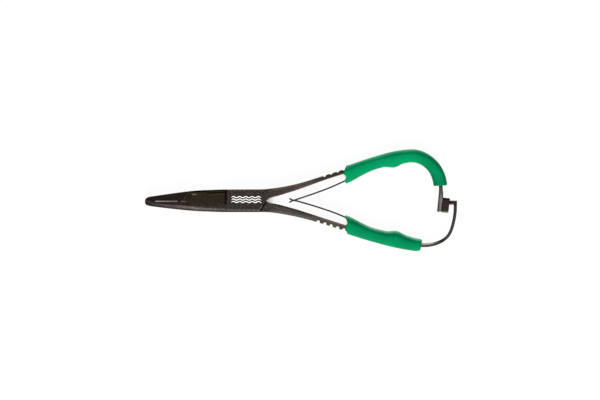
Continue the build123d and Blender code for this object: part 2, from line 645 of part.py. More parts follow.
# ---------------------------------------------------- ratchet block, rivets
def tooth_valley(y):
    """Cut between two crests on the back: a wall at y, a floor, then a ramp."""
    outside = BLOCK_BACK_Z - 1
    floor = BLOCK_BACK_Z + TOOTH_DEPTH
    ramp_end = y + TOOTH_PITCH - TOOTH_CREST
    face = polygon_face([
        (0, y, outside), (0, y, floor), (0, y + TOOTH_FLOOR, floor),
        (0, ramp_end, BLOCK_BACK_Z), (0, ramp_end, outside),
    ])
    return Solid.extrude(face.moved(Location((BLOCK_CUT_X, 0, 0))), Vector(BLOCK_CUT_LENGTH, 0, 0))


def ratchet_block():
    slopes = [
        Solid.make_box(BLOCK_CUT_LENGTH, 3, 3, Plane((BLOCK_CUT_X, corner_y, 0)))
        .moved(Location((0, y, BLOCK_FRONT_Z), (tilt, 0, 0)))
        for corner_y, y, tilt in BLOCK_SLOPES
    ]
    valleys = [tooth_valley(TOOTH_START_Y - k * TOOTH_PITCH) for k in range(TOOTH_COUNT)]
    return cut(polygon(BLOCK, BLOCK_BACK_Z, BLOCK_FRONT_Z), *slopes, *valleys, *rivet_holes())


def rivet(frame):
    shank = cylinder(RIVET_R, RIVET_LENGTH, (RIVET_START, 0, 0), ALONG_X)
    head = cylinder(RIVET_HEAD_R, RIVET_HEAD_H, (RIVET_HEAD_START, 0, 0), ALONG_X)
    head = head.fillet(RIVET_HEAD_ROUND, [min(head.edges(), key=lambda e: e.center().X)])
    return solid_of(head + shank).moved(frame)


# --------------------------------------------------------------------- grips
def arm_core(arm_outer, arm_inner, hidden):
    """The arm's room in its grip, from the last two stations of the bare arm on."""
    centre = [((outer[0] + inner[0]) / 2, (outer[1] + inner[1]) / 2)
              for outer, inner in zip(arm_outer[-2:], arm_inner[-2:])]
    centre += [(x, y) for x, y, _ in hidden]
    widths = [CORE_START_HALF_WIDTH] * 2 + [width for _, _, width in hidden]
    half_thick = ARM_HALF_THICK + GRIP_FACE_FIT
    return prism(strip_face(centre, [w + GRIP_FIT for w in widths]), -half_thick, half_thick)


def leaf_room(leaf, sign):
    """Room for the leaf, from the mouth to its screw."""
    left, right = sides([p for p in leaf if p[0] > LEAF_ROOM_START_X], LEAF_THICK / 2 + LEAF_ROOM)
    far = left if sign > 0 else right
    root, mouth = far[0], far[-1]
    outline = [smooth(far), *straight([mouth, (mouth[0], mouth[1] + sign * LEAF_ROOM_MOUTH_H),
                                       (root[0], root[1] + sign * LEAF_ROOM_ROOT_H), root])]
    half_width = LEAF_HALF_WIDTH + LEAF_ROOM_EDGE
    return prism(face_of(outline), -half_width, half_width)


def grip(first_side, second_side, mouth, core, leaf, screw_frame, sign):
    outline = [smooth(first_side), *straight([first_side[-1], second_side[0]]),
               smooth(second_side), smooth(mouth)]
    body = prism(face_of(outline), -GRIP_HALF_THICK, GRIP_HALF_THICK)
    long_edges = [e for e in body.edges()
                  if abs((e @ 0).Z - (e @ 1).Z) < 1e-6 and e.length > 5]
    for radius in GRIP_EDGE_ROUNDS:
        # A fillet too large for the outline fails; the next smaller one is tried.
        try:
            body = body.fillet(radius, long_edges)
            break
        except Exception:
            continue
    pocket = cylinder(SPRING_SCREW_HEAD_R + POCKET_FIT, SPRING_SCREW_HEAD_H + LEAF_THICK + 0.3,
                      (0, 0, 0), (0, -sign, 0))
    return cut(body, core, leaf_room(leaf, sign), pocket.moved(screw_frame))


def upper_grip():
    core = arm_core(UPPER_ARM_OUTER, UPPER_ARM_INNER, UPPER_ARM_HIDDEN)
    return grip(UPPER_GRIP_OUTER, UPPER_GRIP_INNER, UPPER_GRIP_MOUTH, core,
                UPPER_LEAF, UPPER_SCREW_FRAME, +1)


def lower_grip():
    core = arm_core(LOWER_ARM_OUTER, LOWER_ARM_INNER, LOWER_ARM_HIDDEN)
    body = grip(LOWER_GRIP_INNER, LOWER_GRIP_OUTER, LOWER_GRIP_MOUTH, core,
                LOWER_LEAF, LOWER_SCREW_FRAME, -1)
    # The rod leaves the grip through a loose hole.
    rod_hole = cylinder(ROD_EYE_R + ROD_HOLE_CLEARANCE, 7, (1.2, 0, 0), ALONG_X)
    return cut(body, rod_hole.moved(CATCH_PIN_FRAME))


# -------------------------------------------------------------------- output
os.makedirs("parts", exist_ok=True)
save(front_half(), "front_half")
save(rear_half(), "rear_half")
save(pivot_screw(), "pivot_screw")
save(leaf_spring(UPPER_LEAF, UPPER_SCREW_FRAME, tongue_cuts()), "upper_leaf_spring")
save(leaf_spring(LOWER_LEAF, LOWER_SCREW_FRAME, [fork_slot()]), "lower_leaf_spring")
save(spring_screw(UPPER_SCREW_FRAME, +1), "upper_spring_screw")
save(spring_screw(LOWER_SCREW_FRAME, -1), "lower_spring_screw")
save(catch_pin(), "catch_rod_pin")
save(catch_rod(), "catch_rod")
save(ratchet_block(), "ratchet_block")
save(Compound([rivet(frame) for frame in RIVET_FRAMES]), "ratchet_rivets")
save(upper_grip(), "upper_grip")
save(lower_grip(), "lower_grip")
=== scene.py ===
import math

import bmesh
import bpy
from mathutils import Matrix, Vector


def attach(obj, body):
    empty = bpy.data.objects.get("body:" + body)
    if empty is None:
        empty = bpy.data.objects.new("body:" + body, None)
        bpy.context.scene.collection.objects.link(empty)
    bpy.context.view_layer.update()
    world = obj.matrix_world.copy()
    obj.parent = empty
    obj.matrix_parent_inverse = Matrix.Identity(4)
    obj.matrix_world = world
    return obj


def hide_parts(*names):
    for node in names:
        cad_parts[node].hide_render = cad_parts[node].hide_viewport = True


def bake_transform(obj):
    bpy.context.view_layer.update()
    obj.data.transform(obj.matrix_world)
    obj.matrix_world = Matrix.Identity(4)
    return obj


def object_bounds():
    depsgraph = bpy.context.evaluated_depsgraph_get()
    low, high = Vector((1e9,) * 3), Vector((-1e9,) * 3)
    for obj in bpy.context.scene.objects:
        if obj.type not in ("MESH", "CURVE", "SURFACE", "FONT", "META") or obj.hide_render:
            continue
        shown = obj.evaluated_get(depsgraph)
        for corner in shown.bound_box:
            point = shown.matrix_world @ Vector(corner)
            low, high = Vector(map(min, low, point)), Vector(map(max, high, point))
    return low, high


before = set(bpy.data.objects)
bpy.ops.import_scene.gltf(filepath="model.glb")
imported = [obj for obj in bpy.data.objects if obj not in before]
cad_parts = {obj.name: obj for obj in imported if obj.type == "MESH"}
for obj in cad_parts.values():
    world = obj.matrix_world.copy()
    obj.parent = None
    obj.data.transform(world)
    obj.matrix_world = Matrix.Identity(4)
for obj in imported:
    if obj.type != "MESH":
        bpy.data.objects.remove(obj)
cad_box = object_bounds()
scene = bpy.context.scene
MM = 0.001
# Z of the lap plane, in metres; the shapes below are drawn about it.
LAP = -2.4 * MM

# ------------------------------------------------------------ outlines of the steel
# Edges seen from the front, in mm: x, y.
LOW_EDGE = [
    (-44.4, -0.6), (-43.02, -2.16), (-41.22, -2.50), (-37.63, -2.98), (-34.05, -3.40),
    (-30.46, -3.78), (-26.88, -4.14), (-23.30, -4.45), (-19.70, -4.67), (-16.10, -4.83),
    (-12.50, -4.95), (6.00, -5.03), (10.75, -5.12), (14.34, -5.48), (17.92, -6.05),
    (21.50, -6.74), (25.09, -7.52), (29.57, -8.70), (34.05, -10.02), (38.53, -11.42),
    (43.01, -12.80), (47.0, -14.0)]
TOP_EDGE = [
    (-44.4, 0.5), (-43.05, 1.66), (-41.22, 2.06), (-34.05, 3.08), (-26.88, 4.06),
    (-23.30, 4.46), (-19.70, 4.70), (-12.50, 4.98), (-8.15, 5.08), (6.00, 5.14),
    (10.75, 5.35), (14.34, 5.80), (17.92, 6.38), (21.50, 7.12), (25.09, 8.00),
    (29.57, 9.34), (34.05, 10.77), (38.53, 12.19), (43.01, 13.60), (47.0, 14.9)]
UPPER_INNER = [
    (9.80, 0.12), (10.75, 0.86), (14.34, 2.06), (17.92, 3.10), (21.50, 4.22), (25.09, 5.42),
    (29.57, 7.04), (34.05, 8.66), (38.53, 10.20), (43.01, 11.62), (47.0, 12.8)]
LOWER_INNER = [
    (9.80, -0.10), (10.75, -0.66), (14.34, -1.48), (17.92, -2.38), (21.50, -3.34),
    (25.09, -4.42), (29.57, -5.86), (34.05, -7.30), (38.53, -8.74), (43.01, -10.20),
    (47.0, -11.6)]
# Painted highlight on the bevel along the lower edge: x against height over the edge, half width
# and strength of the highlight.
BEVEL_CENTRE = [(-44.0, 1.20), (-37.0, 1.32), (-27.0, 1.38), (-20.0, 1.24), (-10.0, 1.10),
                (-2.0, 0.92), (8.0, 0.92)]
BEVEL_HALF = [(-44.0, 0.20), (-36.0, 0.28), (-28.0, 0.42), (-21.0, 0.34), (-12.0, 0.20),
              (8.0, 0.18)]
BEVEL_HIGHLIGHT_STRENGTH = [(-44.0, 0.05), (-40.0, 0.25), (-32.0, 0.55), (-26.0, 1.15), (-22.0, 1.45),
               (-17.0, 1.10), (-9.0, 0.95), (6.0, 0.90), (7.5, 0.0)]
# Stretches of the parting line between the jaws with a painted highlight: centre x, half length.
PARTING_HIGHLIGHT_SPANS = [(-38.5, 1.0), (-33.0, 3.1), (-27.3, 0.9)]
PARTING_Y = -0.18

# Base colours of the regions of the two halves.
PLATE = (0.042, 0.0352, 0.0312)
# Painted shade along the joint's top edge.
PLATE_TOP_SHADE = (0.036, 0.0285, 0.0205)
# Painted light on the lower bevel, then its painted highlight line.
LOWER_BEVEL_LIT = (0.060, 0.045, 0.038)
LOWER_BEVEL_HIGHLIGHT = (0.120, 0.102, 0.093)
BLADE = (0.0315, 0.0215, 0.0138)
UPPER_JAW = (0.0190, 0.0125, 0.0094)
LOWER_JAW = (0.0275, 0.0195, 0.0165)
UPPER_ARM = (0.0620, 0.0490, 0.0450)
UPPER_ARM_FAR = (0.046, 0.034, 0.027)
# Painted highlight along the upper arm's top edge.
UPPER_ARM_TOP_HIGHLIGHT = (0.1150, 0.0850, 0.0640)
LOWER_ARM = (0.0740, 0.0630, 0.0570)
LOWER_ARM_FAR = (0.070, 0.058, 0.051)
WORN = (0.20, 0.18, 0.165)
WHITE = (1.0, 1.0, 1.0)


# ------------------------------------------------------------------ material helper
class Material:
    """Node material whose colour is built up in layers, with short calls for its nodes."""

    def __init__(self, name):
        self.material = bpy.data.materials.new(name)
        self.material.use_nodes = True
        self.tree = self.material.node_tree
        self.tree.nodes.clear()
        self.output = self.node("OutputMaterial")
        self.surface = self.node("BsdfPrincipled")
        self.coord = self.node("TexCoord").outputs["Object"]
        self.show(self.surface.outputs[0])

    def show(self, shader):
        self.put(self.output.inputs["Surface"], shader)

    def put(self, socket, value):
        """Links a socket, or sets a plain value; colours get an alpha of 1."""
        if isinstance(value, bpy.types.NodeSocket):
            self.tree.links.new(value, socket)
        else:
            socket.default_value = (*value, 1) if socket.type == "RGBA" else value

    def fill(self, node, inputs):
        for key, value in inputs.items():
            self.put(node.inputs[key], value)

    def node(self, kind, inputs=None, **settings):
        node = self.tree.nodes.new("ShaderNode" + kind)
        for key, value in settings.items():
            setattr(node, key, value)
        self.fill(node, inputs or {})
        return node

    def math(self, operation, first, second=0.0, third=None, clamp=False):
        inputs = {0: first, 1: second}
        if third is not None:
            inputs[2] = third
        return self.node("Math", inputs, operation=operation, use_clamp=clamp).outputs[0]

    def fold(self, operation, values):
        result, *rest = values
        for value in rest:
            result = self.math(operation, result, value)
        return result

    def times(self, *values):
        return self.fold("MULTIPLY", values)

    def plus(self, *values):
        return self.fold("ADD", values)

    def highest(self, *values):
        return self.fold("MAXIMUM", values)

    def minus(self, first, second):
        return self.math("SUBTRACT", first, second)

    def below(self, value, limit):
        return self.math("LESS_THAN", value, limit)

    def above(self, value, limit):
        return self.math("GREATER_THAN", value, limit)

    def linear(self, value, slope, offset):
        return self.math("MULTIPLY_ADD", value, slope, offset)

    def rise(self, value, zero, one):
        """Smooth step: 0 where value is at zero, 1 where it is at one."""
        node = self.node("MapRange", {"Value": value, "From Min": zero, "From Max": one},
                         interpolation_type="SMOOTHSTEP")
        return node.outputs[0]

    def band(self, value, centre, half, soft):
        """1 within half of centre, falling to 0 over soft."""
        away = self.math("ABSOLUTE", self.minus(value, centre))
        return self.rise(self.minus(away, half), zero=soft, one=0.0)

    def ramp(self, factor, stops):
        """Colour ramp; stops are pairs of place and grey value or colour."""
        node = self.node("ValToRGB", {0: factor})
        elements = node.color_ramp.elements
        while len(elements) < len(stops):
            elements.new(0.5)
        for element, (place, tone) in zip(elements, stops):
            element.position = place
            element.color = (*tone, 1) if isinstance(tone, tuple) else (tone, tone, tone, 1)
        return node.outputs[0]

    def table(self, x, points):
        """Piecewise-linear function of x, both in millimetres."""
        start, end = points[0][0], points[-1][0]
        low = min(value for _, value in points) - 0.01
        high = max(value for _, value in points) + 0.01
        node = self.node("MapRange", {"Value": x, "From Min": start, "From Max": end})
        stops = [((place - start) / (end - start), (value - low) / (high - low))
                 for place, value in points]
        return self.linear(self.ramp(node.outputs[0], stops), slope=high - low, offset=low)

    def mix(self, factor, first, second, blend="MIX"):
        node = self.node("Mix", data_type="RGBA", blend_type=blend)
        self.fill(node, {0: factor, 6: first, 7: second})
        return node.outputs[2]

    def lay(self, *masks, tone, strength=None):
        """Covers the colour with tone where all masks are 1."""
        if strength is not None:
            masks += (strength,)
        self.colour = self.mix(self.times(*masks), self.colour, tone)

    def tint(self, tone):
        self.colour = self.mix(1.0, self.colour, tone, "MULTIPLY")

    def darken(self, mask, factor):
        shaded = self.mix(1.0, self.colour, (factor,) * 3, "MULTIPLY")
        self.lay(mask, tone=shaded)

    def contrast(self, factor, low, high):
        return self.ramp(factor, [(0.32, low), (0.50, 1.0), (0.68, high)])

    def noise(self, stretch, detail, rough, scale=1.0):
        """Noise of object space; stretch is one frequency, or one for each axis."""
        if not isinstance(stretch, tuple):
            stretch = (stretch,) * 3
        mapping = self.node("Mapping", {"Scale": stretch, "Vector": self.coord})
        return self.node("TexNoise", {"Vector": mapping.outputs[0], "Scale": scale,
                                      "Detail": detail, "Roughness": rough}).outputs["Fac"]

    def bump(self, height, strength, distance, normal=None):
        inputs = {"Strength": strength, "Distance": distance, "Height": height}
        if normal is not None:
            inputs["Normal"] = normal
        return self.node("Bump", inputs).outputs[0]

    def bevel(self, radius, samples):
        return self.node("Bevel", {"Radius": radius}, samples=samples).outputs[0]

    def edge_mask(self, radius):
        """1 near sharp edges, from how far a bevelled normal leans off the true one."""
        rounded = self.bevel(radius, samples=8)
        geometry = self.node("NewGeometry")
        lean = self.node("VectorMath", {0: rounded, 1: geometry.outputs["Normal"]},
                         operation="DOT_PRODUCT")
        return self.ramp(lean.outputs["Value"], [(0.72, 1.0), (0.985, 0.0)])

    def place(self, axis):
        """Object coordinate in millimetres."""
        return self.times(self.node("SeparateXYZ", {0: self.coord}).outputs[axis], 1000.0)

    def normal(self, axis, smooth=False):
        geometry = self.node("NewGeometry").outputs["Normal" if smooth else "True Normal"]
        return self.node("SeparateXYZ", {0: geometry}).outputs[axis]

    def finish_metal(self, rough, vary, height, strength, edge, soft):
        """Metal of the layered colour; edge tints its highlights, soft rounds corners in mm."""
        rounded = self.bevel(soft * MM, samples=6) if soft else None
        self.fill(self.surface, {
            "Base Color": self.colour,
            "Metallic": 1.0,
            "Specular Tint": edge,
            "Roughness": self.ramp(vary, [(0.3, rough - 0.06), (0.7, rough + 0.10)]),
            "Anisotropic": 0.25,
            "Normal": self.bump(height, strength, distance=0.02 * MM, normal=rounded)})
        # The oxide is dull and oily: at a glancing angle it goes dark, not bright.
        dull_tone = self.mix(1.0, self.colour, (0.55, 0.48, 0.45), "MULTIPLY")
        dull = self.node("BsdfDiffuse", {"Color": dull_tone})
        glancing = self.node("LayerWeight", {"Blend": 0.5}).outputs["Facing"]
        blend = self.node("MixShader", {0: self.rise(glancing, zero=0.18, one=0.50),
                                        1: self.surface.outputs[0], 2: dull.outputs[0]})
        self.show(blend.outputs[0])


# --------------------------------------------------------------------- forged steel
class ForgedSteel(Material):
    """Black-oxide steel of the two halves: a tone for each region, then painted highlights and
    shade, grain and wear.
    """

    def __init__(self, name):
        super().__init__(name)
        self.x, self.y = self.place("X"), self.place("Y")
        self.from_low = self.minus(self.y, self.table(self.x, LOW_EDGE))
        self.from_top = self.minus(self.table(self.x, TOP_EDGE), self.y)
        flatness = self.math("ABSOLUTE", self.normal("Z"))
        self.facing = self.rise(flatness, zero=0.55, one=0.85)
        self.upper_side = self.rise(self.y, zero=-0.3, one=0.3)
        self.regions()
        self.blade()
        self.joint_top()
        self.lower_bevel()
        self.parting_line()
        self.blade_ends()
        self.heel()
        self.arms()
        self.tail()
        self.grain()

    def regions(self):
        x, y = self.x, self.y
        self.on_arm = self.rise(x, zero=6.5, one=17.0)
        near = self.mix(self.upper_side, LOWER_ARM, UPPER_ARM)
        far = self.mix(self.upper_side, LOWER_ARM_FAR, UPPER_ARM_FAR)
        arm = self.mix(self.rise(x, zero=20.0, one=34.0), near, far)
        self.colour = self.mix(self.on_arm, PLATE, arm)
        jaw = self.mix(self.above(y, limit=PARTING_Y), LOWER_JAW, UPPER_JAW)
        # The jaws begin at the diagonal shoulder.
        self.shoulder = self.linear(self.plus(y, -PARTING_Y), slope=0.605, offset=-26.9)
        sharp = self.rise(self.minus(self.shoulder, x), zero=-0.1, one=0.1)
        soft = self.rise(x, zero=-19.0, one=-27.0)
        side = self.mix(self.rise(y, zero=-0.1, one=-0.9), sharp, soft)
        self.is_jaw = self.times(side, 1.0)
        self.lay(self.is_jaw, tone=jaw)

    def blade(self):
        """Ground blade between shoulder and step, fading out below."""
        x, y, from_top = self.x, self.y, self.from_top
        blade = self.times(self.below(x, limit=-8.2), self.minus(1.0, self.is_jaw))
        self.on_blade = blade
        self.ground = self.times(blade, self.rise(y, zero=-3.3, one=-0.9))
        self.lay(self.ground, tone=BLADE)
        # Painted light and shade bands along the blade's top, standing in for the steps between
        # the layers, deepest at its heel.
        ridge = self.minus(self.linear(x, slope=0.0522, offset=5.56), y)
        heelward = self.rise(x, zero=-18.0, one=-15.6)
        self.lay(blade, heelward, self.band(ridge, centre=1.98, half=0.20, soft=0.22),
                 tone=(0.0400, 0.0280, 0.0195))
        self.lay(blade, heelward, self.band(ridge, centre=1.30, half=0.26, soft=0.14),
                 tone=(0.0125, 0.0068, 0.0032))
        self.lay(blade, self.band(ridge, centre=0.78, half=0.14, soft=0.18),
                 tone=(0.0340, 0.0215, 0.0165))
        # Painted shade on the blade's rim and top fillet.
        rim = self.highest(self.rise(ridge, zero=0.62, one=0.44),
                           self.rise(from_top, zero=0.40, one=0.25))
        self.lay(blade, rim, tone=(0.0105, 0.0050, 0.0034))
        self.lay(blade, self.rise(from_top, zero=0.38, one=0.24),
                 tone=(0.0040, 0.0020, 0.0014))
        # A painted highlight streak beside the shoulder, where the root of the grind catches the
        # light.
        self.lay(self.band(x, centre=-22.45, half=0.55, soft=0.75),
                 self.band(y, centre=2.86, half=0.10, soft=0.24),
                 tone=(0.28, 0.25, 0.23), strength=0.60)

    def joint_top(self):
        """Brown painted shade along the top edge of the joint, with a painted highlight at the
        very rim.
        """
        joint = self.times(self.rise(self.x, zero=-8.3, one=-8.1),
                           self.rise(self.x, zero=11.0, one=7.0))
        self.lay(joint, self.rise(self.from_top, zero=1.00, one=0.50), tone=PLATE_TOP_SHADE)
        self.lay(joint, self.rise(self.from_top, zero=0.50, one=0.20),
                 tone=(0.140, 0.108, 0.084), strength=0.9)

    def lower_bevel(self):
        """Painted light and a painted highlight on the long bevel along the lower edge of jaw and
        joint.
        """
        x, from_low = self.x, self.from_low
        centre = self.table(x, BEVEL_CENTRE)
        half = self.table(x, BEVEL_HALF)
        power = self.table(x, BEVEL_HIGHLIGHT_STRENGTH)
        offset = self.minus(from_low, centre)
        self.lay(self.rise(offset, zero=0.15, one=-0.15), self.rise(x, zero=8.2, one=6.6),
                 self.rise(x, zero=-42.0, one=-33.0), self.facing,
                 tone=LOWER_BEVEL_LIT, strength=0.85)
        away = self.minus(self.math("ABSOLUTE", offset), half)
        painted_highlight = self.times(self.rise(away, zero=0.32, one=0.0), self.facing)
        self.lay(self.math("MULTIPLY", painted_highlight, power, clamp=True), tone=LOWER_BEVEL_HIGHLIGHT)
        # Where the painted highlight is stronger than 1, the rest of it is laid on brighter.
        highlight_overflow = self.math("MULTIPLY", painted_highlight, self.minus(power, 1.0), clamp=True)
        self.lay(highlight_overflow, tone=(0.26, 0.235, 0.215))
        # Painted shade on the rounded bottom edge.
        self.lay(self.rise(from_low, zero=0.42, one=0.12), self.rise(x, zero=9.0, one=7.0),
                 tone=(0.0060, 0.0042, 0.0034))

    def parting_line(self):
        """Painted highlight on the lower jaw's corner, with a painted shade line below."""
        highlight_spans = self.highest(*[self.band(self.x, centre=centre, half=half, soft=0.5)
                               for centre, half in PARTING_HIGHLIGHT_SPANS])
        self.lay(highlight_spans, self.band(self.y, centre=-0.36, half=0.10, soft=0.16), self.facing,
                 tone=(0.19, 0.165, 0.14), strength=0.24)
        self.lay(self.band(self.x, centre=-32.3, half=4.0, soft=0.8),
                 self.band(self.y, centre=-0.85, half=0.12, soft=0.22), self.facing,
                 tone=(0.012, 0.008, 0.007), strength=0.55)

    def blade_ends(self):
        """Painted shadow in the step at the blade's heel, and painted highlights on the two
        corners of its shoulder.
        """
        x, y = self.x, self.y
        self.lay(self.band(x, centre=-8.30, half=0.26, soft=0.50),
                 self.rise(y, zero=-2.6, one=-0.8),
                 tone=(0.0075, 0.0042, 0.0020), strength=0.95)
        self.lay(self.band(x, centre=-8.15, half=0.30, soft=0.25),
                 self.rise(self.from_top, zero=0.95, one=0.60), self.below(x, limit=-7.9),
                 tone=(0.0040, 0.0020, 0.0012))
        away = self.math("ABSOLUTE", self.minus(x, self.shoulder))
        self.lay(self.band(away, centre=0.42, half=0.06, soft=0.18),
                 self.rise(y, zero=0.2, one=0.9), self.facing,
                 tone=(0.150, 0.122, 0.100), strength=0.42)

    def heel(self):
        """Heel between joint and lower arm: a painted highlight on the corner on the joint's side,
        and painted shade in the groove and at its lower end.
        """
        x, y = self.x, self.y
        line = self.linear(self.plus(y, 5.20), slope=0.670, offset=6.20)
        beside = self.minus(x, line)
        self.lay(self.band(beside, centre=-0.28, half=0.06, soft=0.20),
                 self.rise(y, zero=-1.9, one=-3.2), self.rise(y, zero=-5.0, one=-4.3),
                 self.facing, tone=(0.30, 0.27, 0.24), strength=0.8)
        self.lay(self.band(x, centre=5.75, half=0.55, soft=0.30),
                 self.rise(self.from_low, zero=0.62, one=0.30),
                 tone=(0.008, 0.005, 0.004), strength=0.8)
        self.lay(self.band(beside, centre=0.66, half=0.14, soft=0.30),
                 self.rise(y, zero=0.2, one=-0.4), self.facing,
                 tone=(0.010, 0.007, 0.006), strength=0.75)

    def arms(self):
        """Painted light and shade bands along both edges of each arm, where the rounded edges
        catch or lose the light.
        """
        x, upper = self.x, self.upper_side
        arm = self.times(self.rise(x, zero=11.0, one=15.0), self.below(x, limit=60.0))
        self.lay(arm, upper, self.rise(self.from_top, zero=1.15, one=0.75),
                 self.rise(x, zero=36.0, one=24.0), tone=UPPER_ARM_TOP_HIGHLIGHT, strength=0.8)
        self.lay(arm, upper, self.rise(self.from_top, zero=0.28, one=0.02),
                 tone=(0.040, 0.028, 0.022))
        inside = self.minus(self.y, self.table(x, UPPER_INNER))
        self.lay(arm, upper, self.rise(inside, zero=0.40, one=0.10),
                 tone=(0.030, 0.021, 0.018))
        self.lay(self.rise(x, zero=17.0, one=22.0), self.rise(x, zero=36.0, one=27.0), upper,
                 self.band(inside, centre=0.78, half=0.16, soft=0.30),
                 tone=(0.150, 0.128, 0.116), strength=0.42)
        lower = self.minus(1.0, upper)
        inside = self.minus(self.table(x, LOWER_INNER), self.y)
        # The lower arm's inner edge: painted shade, turning to a painted highlight further out.
        inner_edge_light_and_shade = self.mix(self.rise(x, zero=29.0, one=35.0),
                              (0.026, 0.019, 0.017), (0.125, 0.094, 0.080))
        self.lay(arm, lower, self.rise(inside, zero=0.85, one=0.40), tone=inner_edge_light_and_shade)
        self.lay(arm, lower, self.band(self.from_low, centre=0.85, half=0.18, soft=0.35),
                 self.rise(x, zero=36.0, one=27.0),
                 tone=(0.150, 0.134, 0.124), strength=0.55)
        self.lay(arm, lower, self.rise(self.from_low, zero=0.45, one=0.10),
                 tone=(0.024, 0.016, 0.013))

    def tail(self):
        """Bare tail beyond the upper grip, darker above, with a painted highlight strip between
        slanting borders and painted shade at its left border and lower end.
        """
        x, y = self.x, self.y
        tail = self.above(x, limit=82.0)
        self.is_tail = tail
        across = self.minus(x, self.linear(y, slope=0.094, offset=87.66))
        left = self.minus(x, self.linear(y, slope=0.036, offset=87.28))
        over = self.highest(self.minus(y, 1.0), 0.0)
        right = self.minus(self.linear(over, slope=-0.105, offset=88.62), x)
        # The painted highlight strip.
        light = self.times(tail, self.rise(left, zero=-0.14, one=0.14),
                           self.rise(right, zero=-0.12, one=0.12))
        self.lay(tail, tone=self.mix(self.rise(y, zero=0.8, one=1.6),
                                     (0.080, 0.068, 0.061), (0.034, 0.027, 0.024)))
        self.lay(light, tone=self.mix(self.rise(y, zero=-1.0, one=5.0),
                                      (0.200, 0.178, 0.162), (0.100, 0.088, 0.080)))
        self.lay(tail, self.rise(across, zero=-0.52, one=-0.72), tone=(0.030, 0.023, 0.019))
        self.lay(tail, self.rise(y, zero=-4.35, one=-4.65),
                 self.rise(across, zero=0.05, one=-0.20), tone=(0.034, 0.026, 0.022))

    def grain(self):
        """Brushing, mottling and blast texture, worn edges, and the metal itself."""
        streak = self.noise((60, 1500, 1500), detail=4, rough=0.65, scale=1.6)
        fine = self.noise((900, 2600, 2600), detail=3, rough=0.7, scale=1.4)
        speck = self.noise(1500, detail=2, rough=0.6)
        mottle = self.noise(300, detail=4, rough=0.6)
        calm = self.highest(self.times(self.on_arm, 0.75), self.times(self.is_jaw, 0.55))
        quiet = self.mix(self.highest(self.ground, self.is_tail, calm), WHITE, (0.30,) * 3)
        vary = self.plus(self.times(streak, 0.45), self.times(fine, 0.55))
        for factor, low, high in ((vary, 0.50, 1.52), (speck, 0.36, 1.72), (mottle, 0.88, 1.14)):
            self.tint(self.mix(quiet, WHITE, self.contrast(factor, low, high)))
        self.lay(self.edge_mask(0.14 * MM), self.ramp(mottle, [(0.45, 0.0), (0.70, 0.22)]),
                 self.minus(1.0, self.on_blade), tone=WORN)
        height = self.plus(streak, self.times(fine, 0.6), speck)
        self.finish_metal(rough=0.46, vary=vary, height=height, strength=0.20,
                          edge=(0.16, 0.14, 0.13), soft=0.10)


# ------------------------------------------------------------------ other materials
def steel(name, tone, rough, grain, shade=None, wear=0.4, soft=0.08, edge=(0.30, 0.28, 0.27)):
    """Dark oxide steel of the small parts. shade paints light and shade into the tone by position
    and facing.
    """
    mat = Material(name)
    mat.colour = mat.mix(0.0, tone, tone)
    if shade:
        shade(mat)
    streak = mat.noise((700, 1500, 1500), detail=4, rough=0.65, scale=1.6)
    fine = mat.noise(2400, detail=3, rough=0.7)
    vary = mat.plus(mat.times(streak, 0.5), mat.times(fine, 0.5))
    mat.tint(mat.contrast(vary, low=1.0 - grain, high=1.0 + grain))
    if wear:
        mat.lay(mat.edge_mask(0.10 * MM), mat.ramp(fine, [(0.40, 0.0), (0.65, wear)]), tone=WORN)
    mat.finish_metal(rough, vary, mat.plus(streak, fine), strength=0.18, edge=edge, soft=soft)
    return mat.material


def block_shade(mat):
    """Painted shade on the slope facing +Y, which is browner, and a painted highlight on the one
    facing -Y, which is paler.
    """
    normal_z, normal_y = mat.normal("Z"), mat.normal("Y")
    tilt = mat.times(mat.rise(normal_z, zero=0.2, one=0.5),
                     mat.rise(normal_z, zero=0.97, one=0.90))
    mat.lay(tilt, mat.above(normal_y, limit=0.1), tone=(0.0048, 0.0032, 0.0020))
    mat.lay(tilt, mat.below(normal_y, limit=-0.1), tone=(0.100, 0.088, 0.082))


def rod_shade(mat):
    """Painted highlights along the crown of the wire's upright part and on its side facing +Y near
    the root, against dark flanks; the wire is dimmed, less at the hook.
    """
    x, y = mat.place("X"), mat.place("Y")
    normal_y, normal_z = mat.normal("Y", smooth=True), mat.normal("Z", smooth=True)
    bent = mat.times(mat.rise(x, zero=88.0, one=89.0), mat.rise(y, zero=-2.8, one=-1.4))
    mat.tint(mat.mix(bent, (0.62, 0.62, 0.62), (0.86, 0.84, 0.82)))
    mat.lay(mat.rise(x, zero=88.0, one=91.0), mat.rise(normal_z, zero=0.60, one=0.88),
            mat.rise(y, zero=-1.6, one=-3.0), tone=(0.082, 0.076, 0.070), strength=0.75)
    mat.lay(mat.rise(x, zero=88.5, one=81.5), mat.rise(normal_y, zero=0.02, one=0.24),
            mat.rise(normal_y, zero=0.95, one=0.75), tone=(0.32, 0.29, 0.27), strength=0.9)


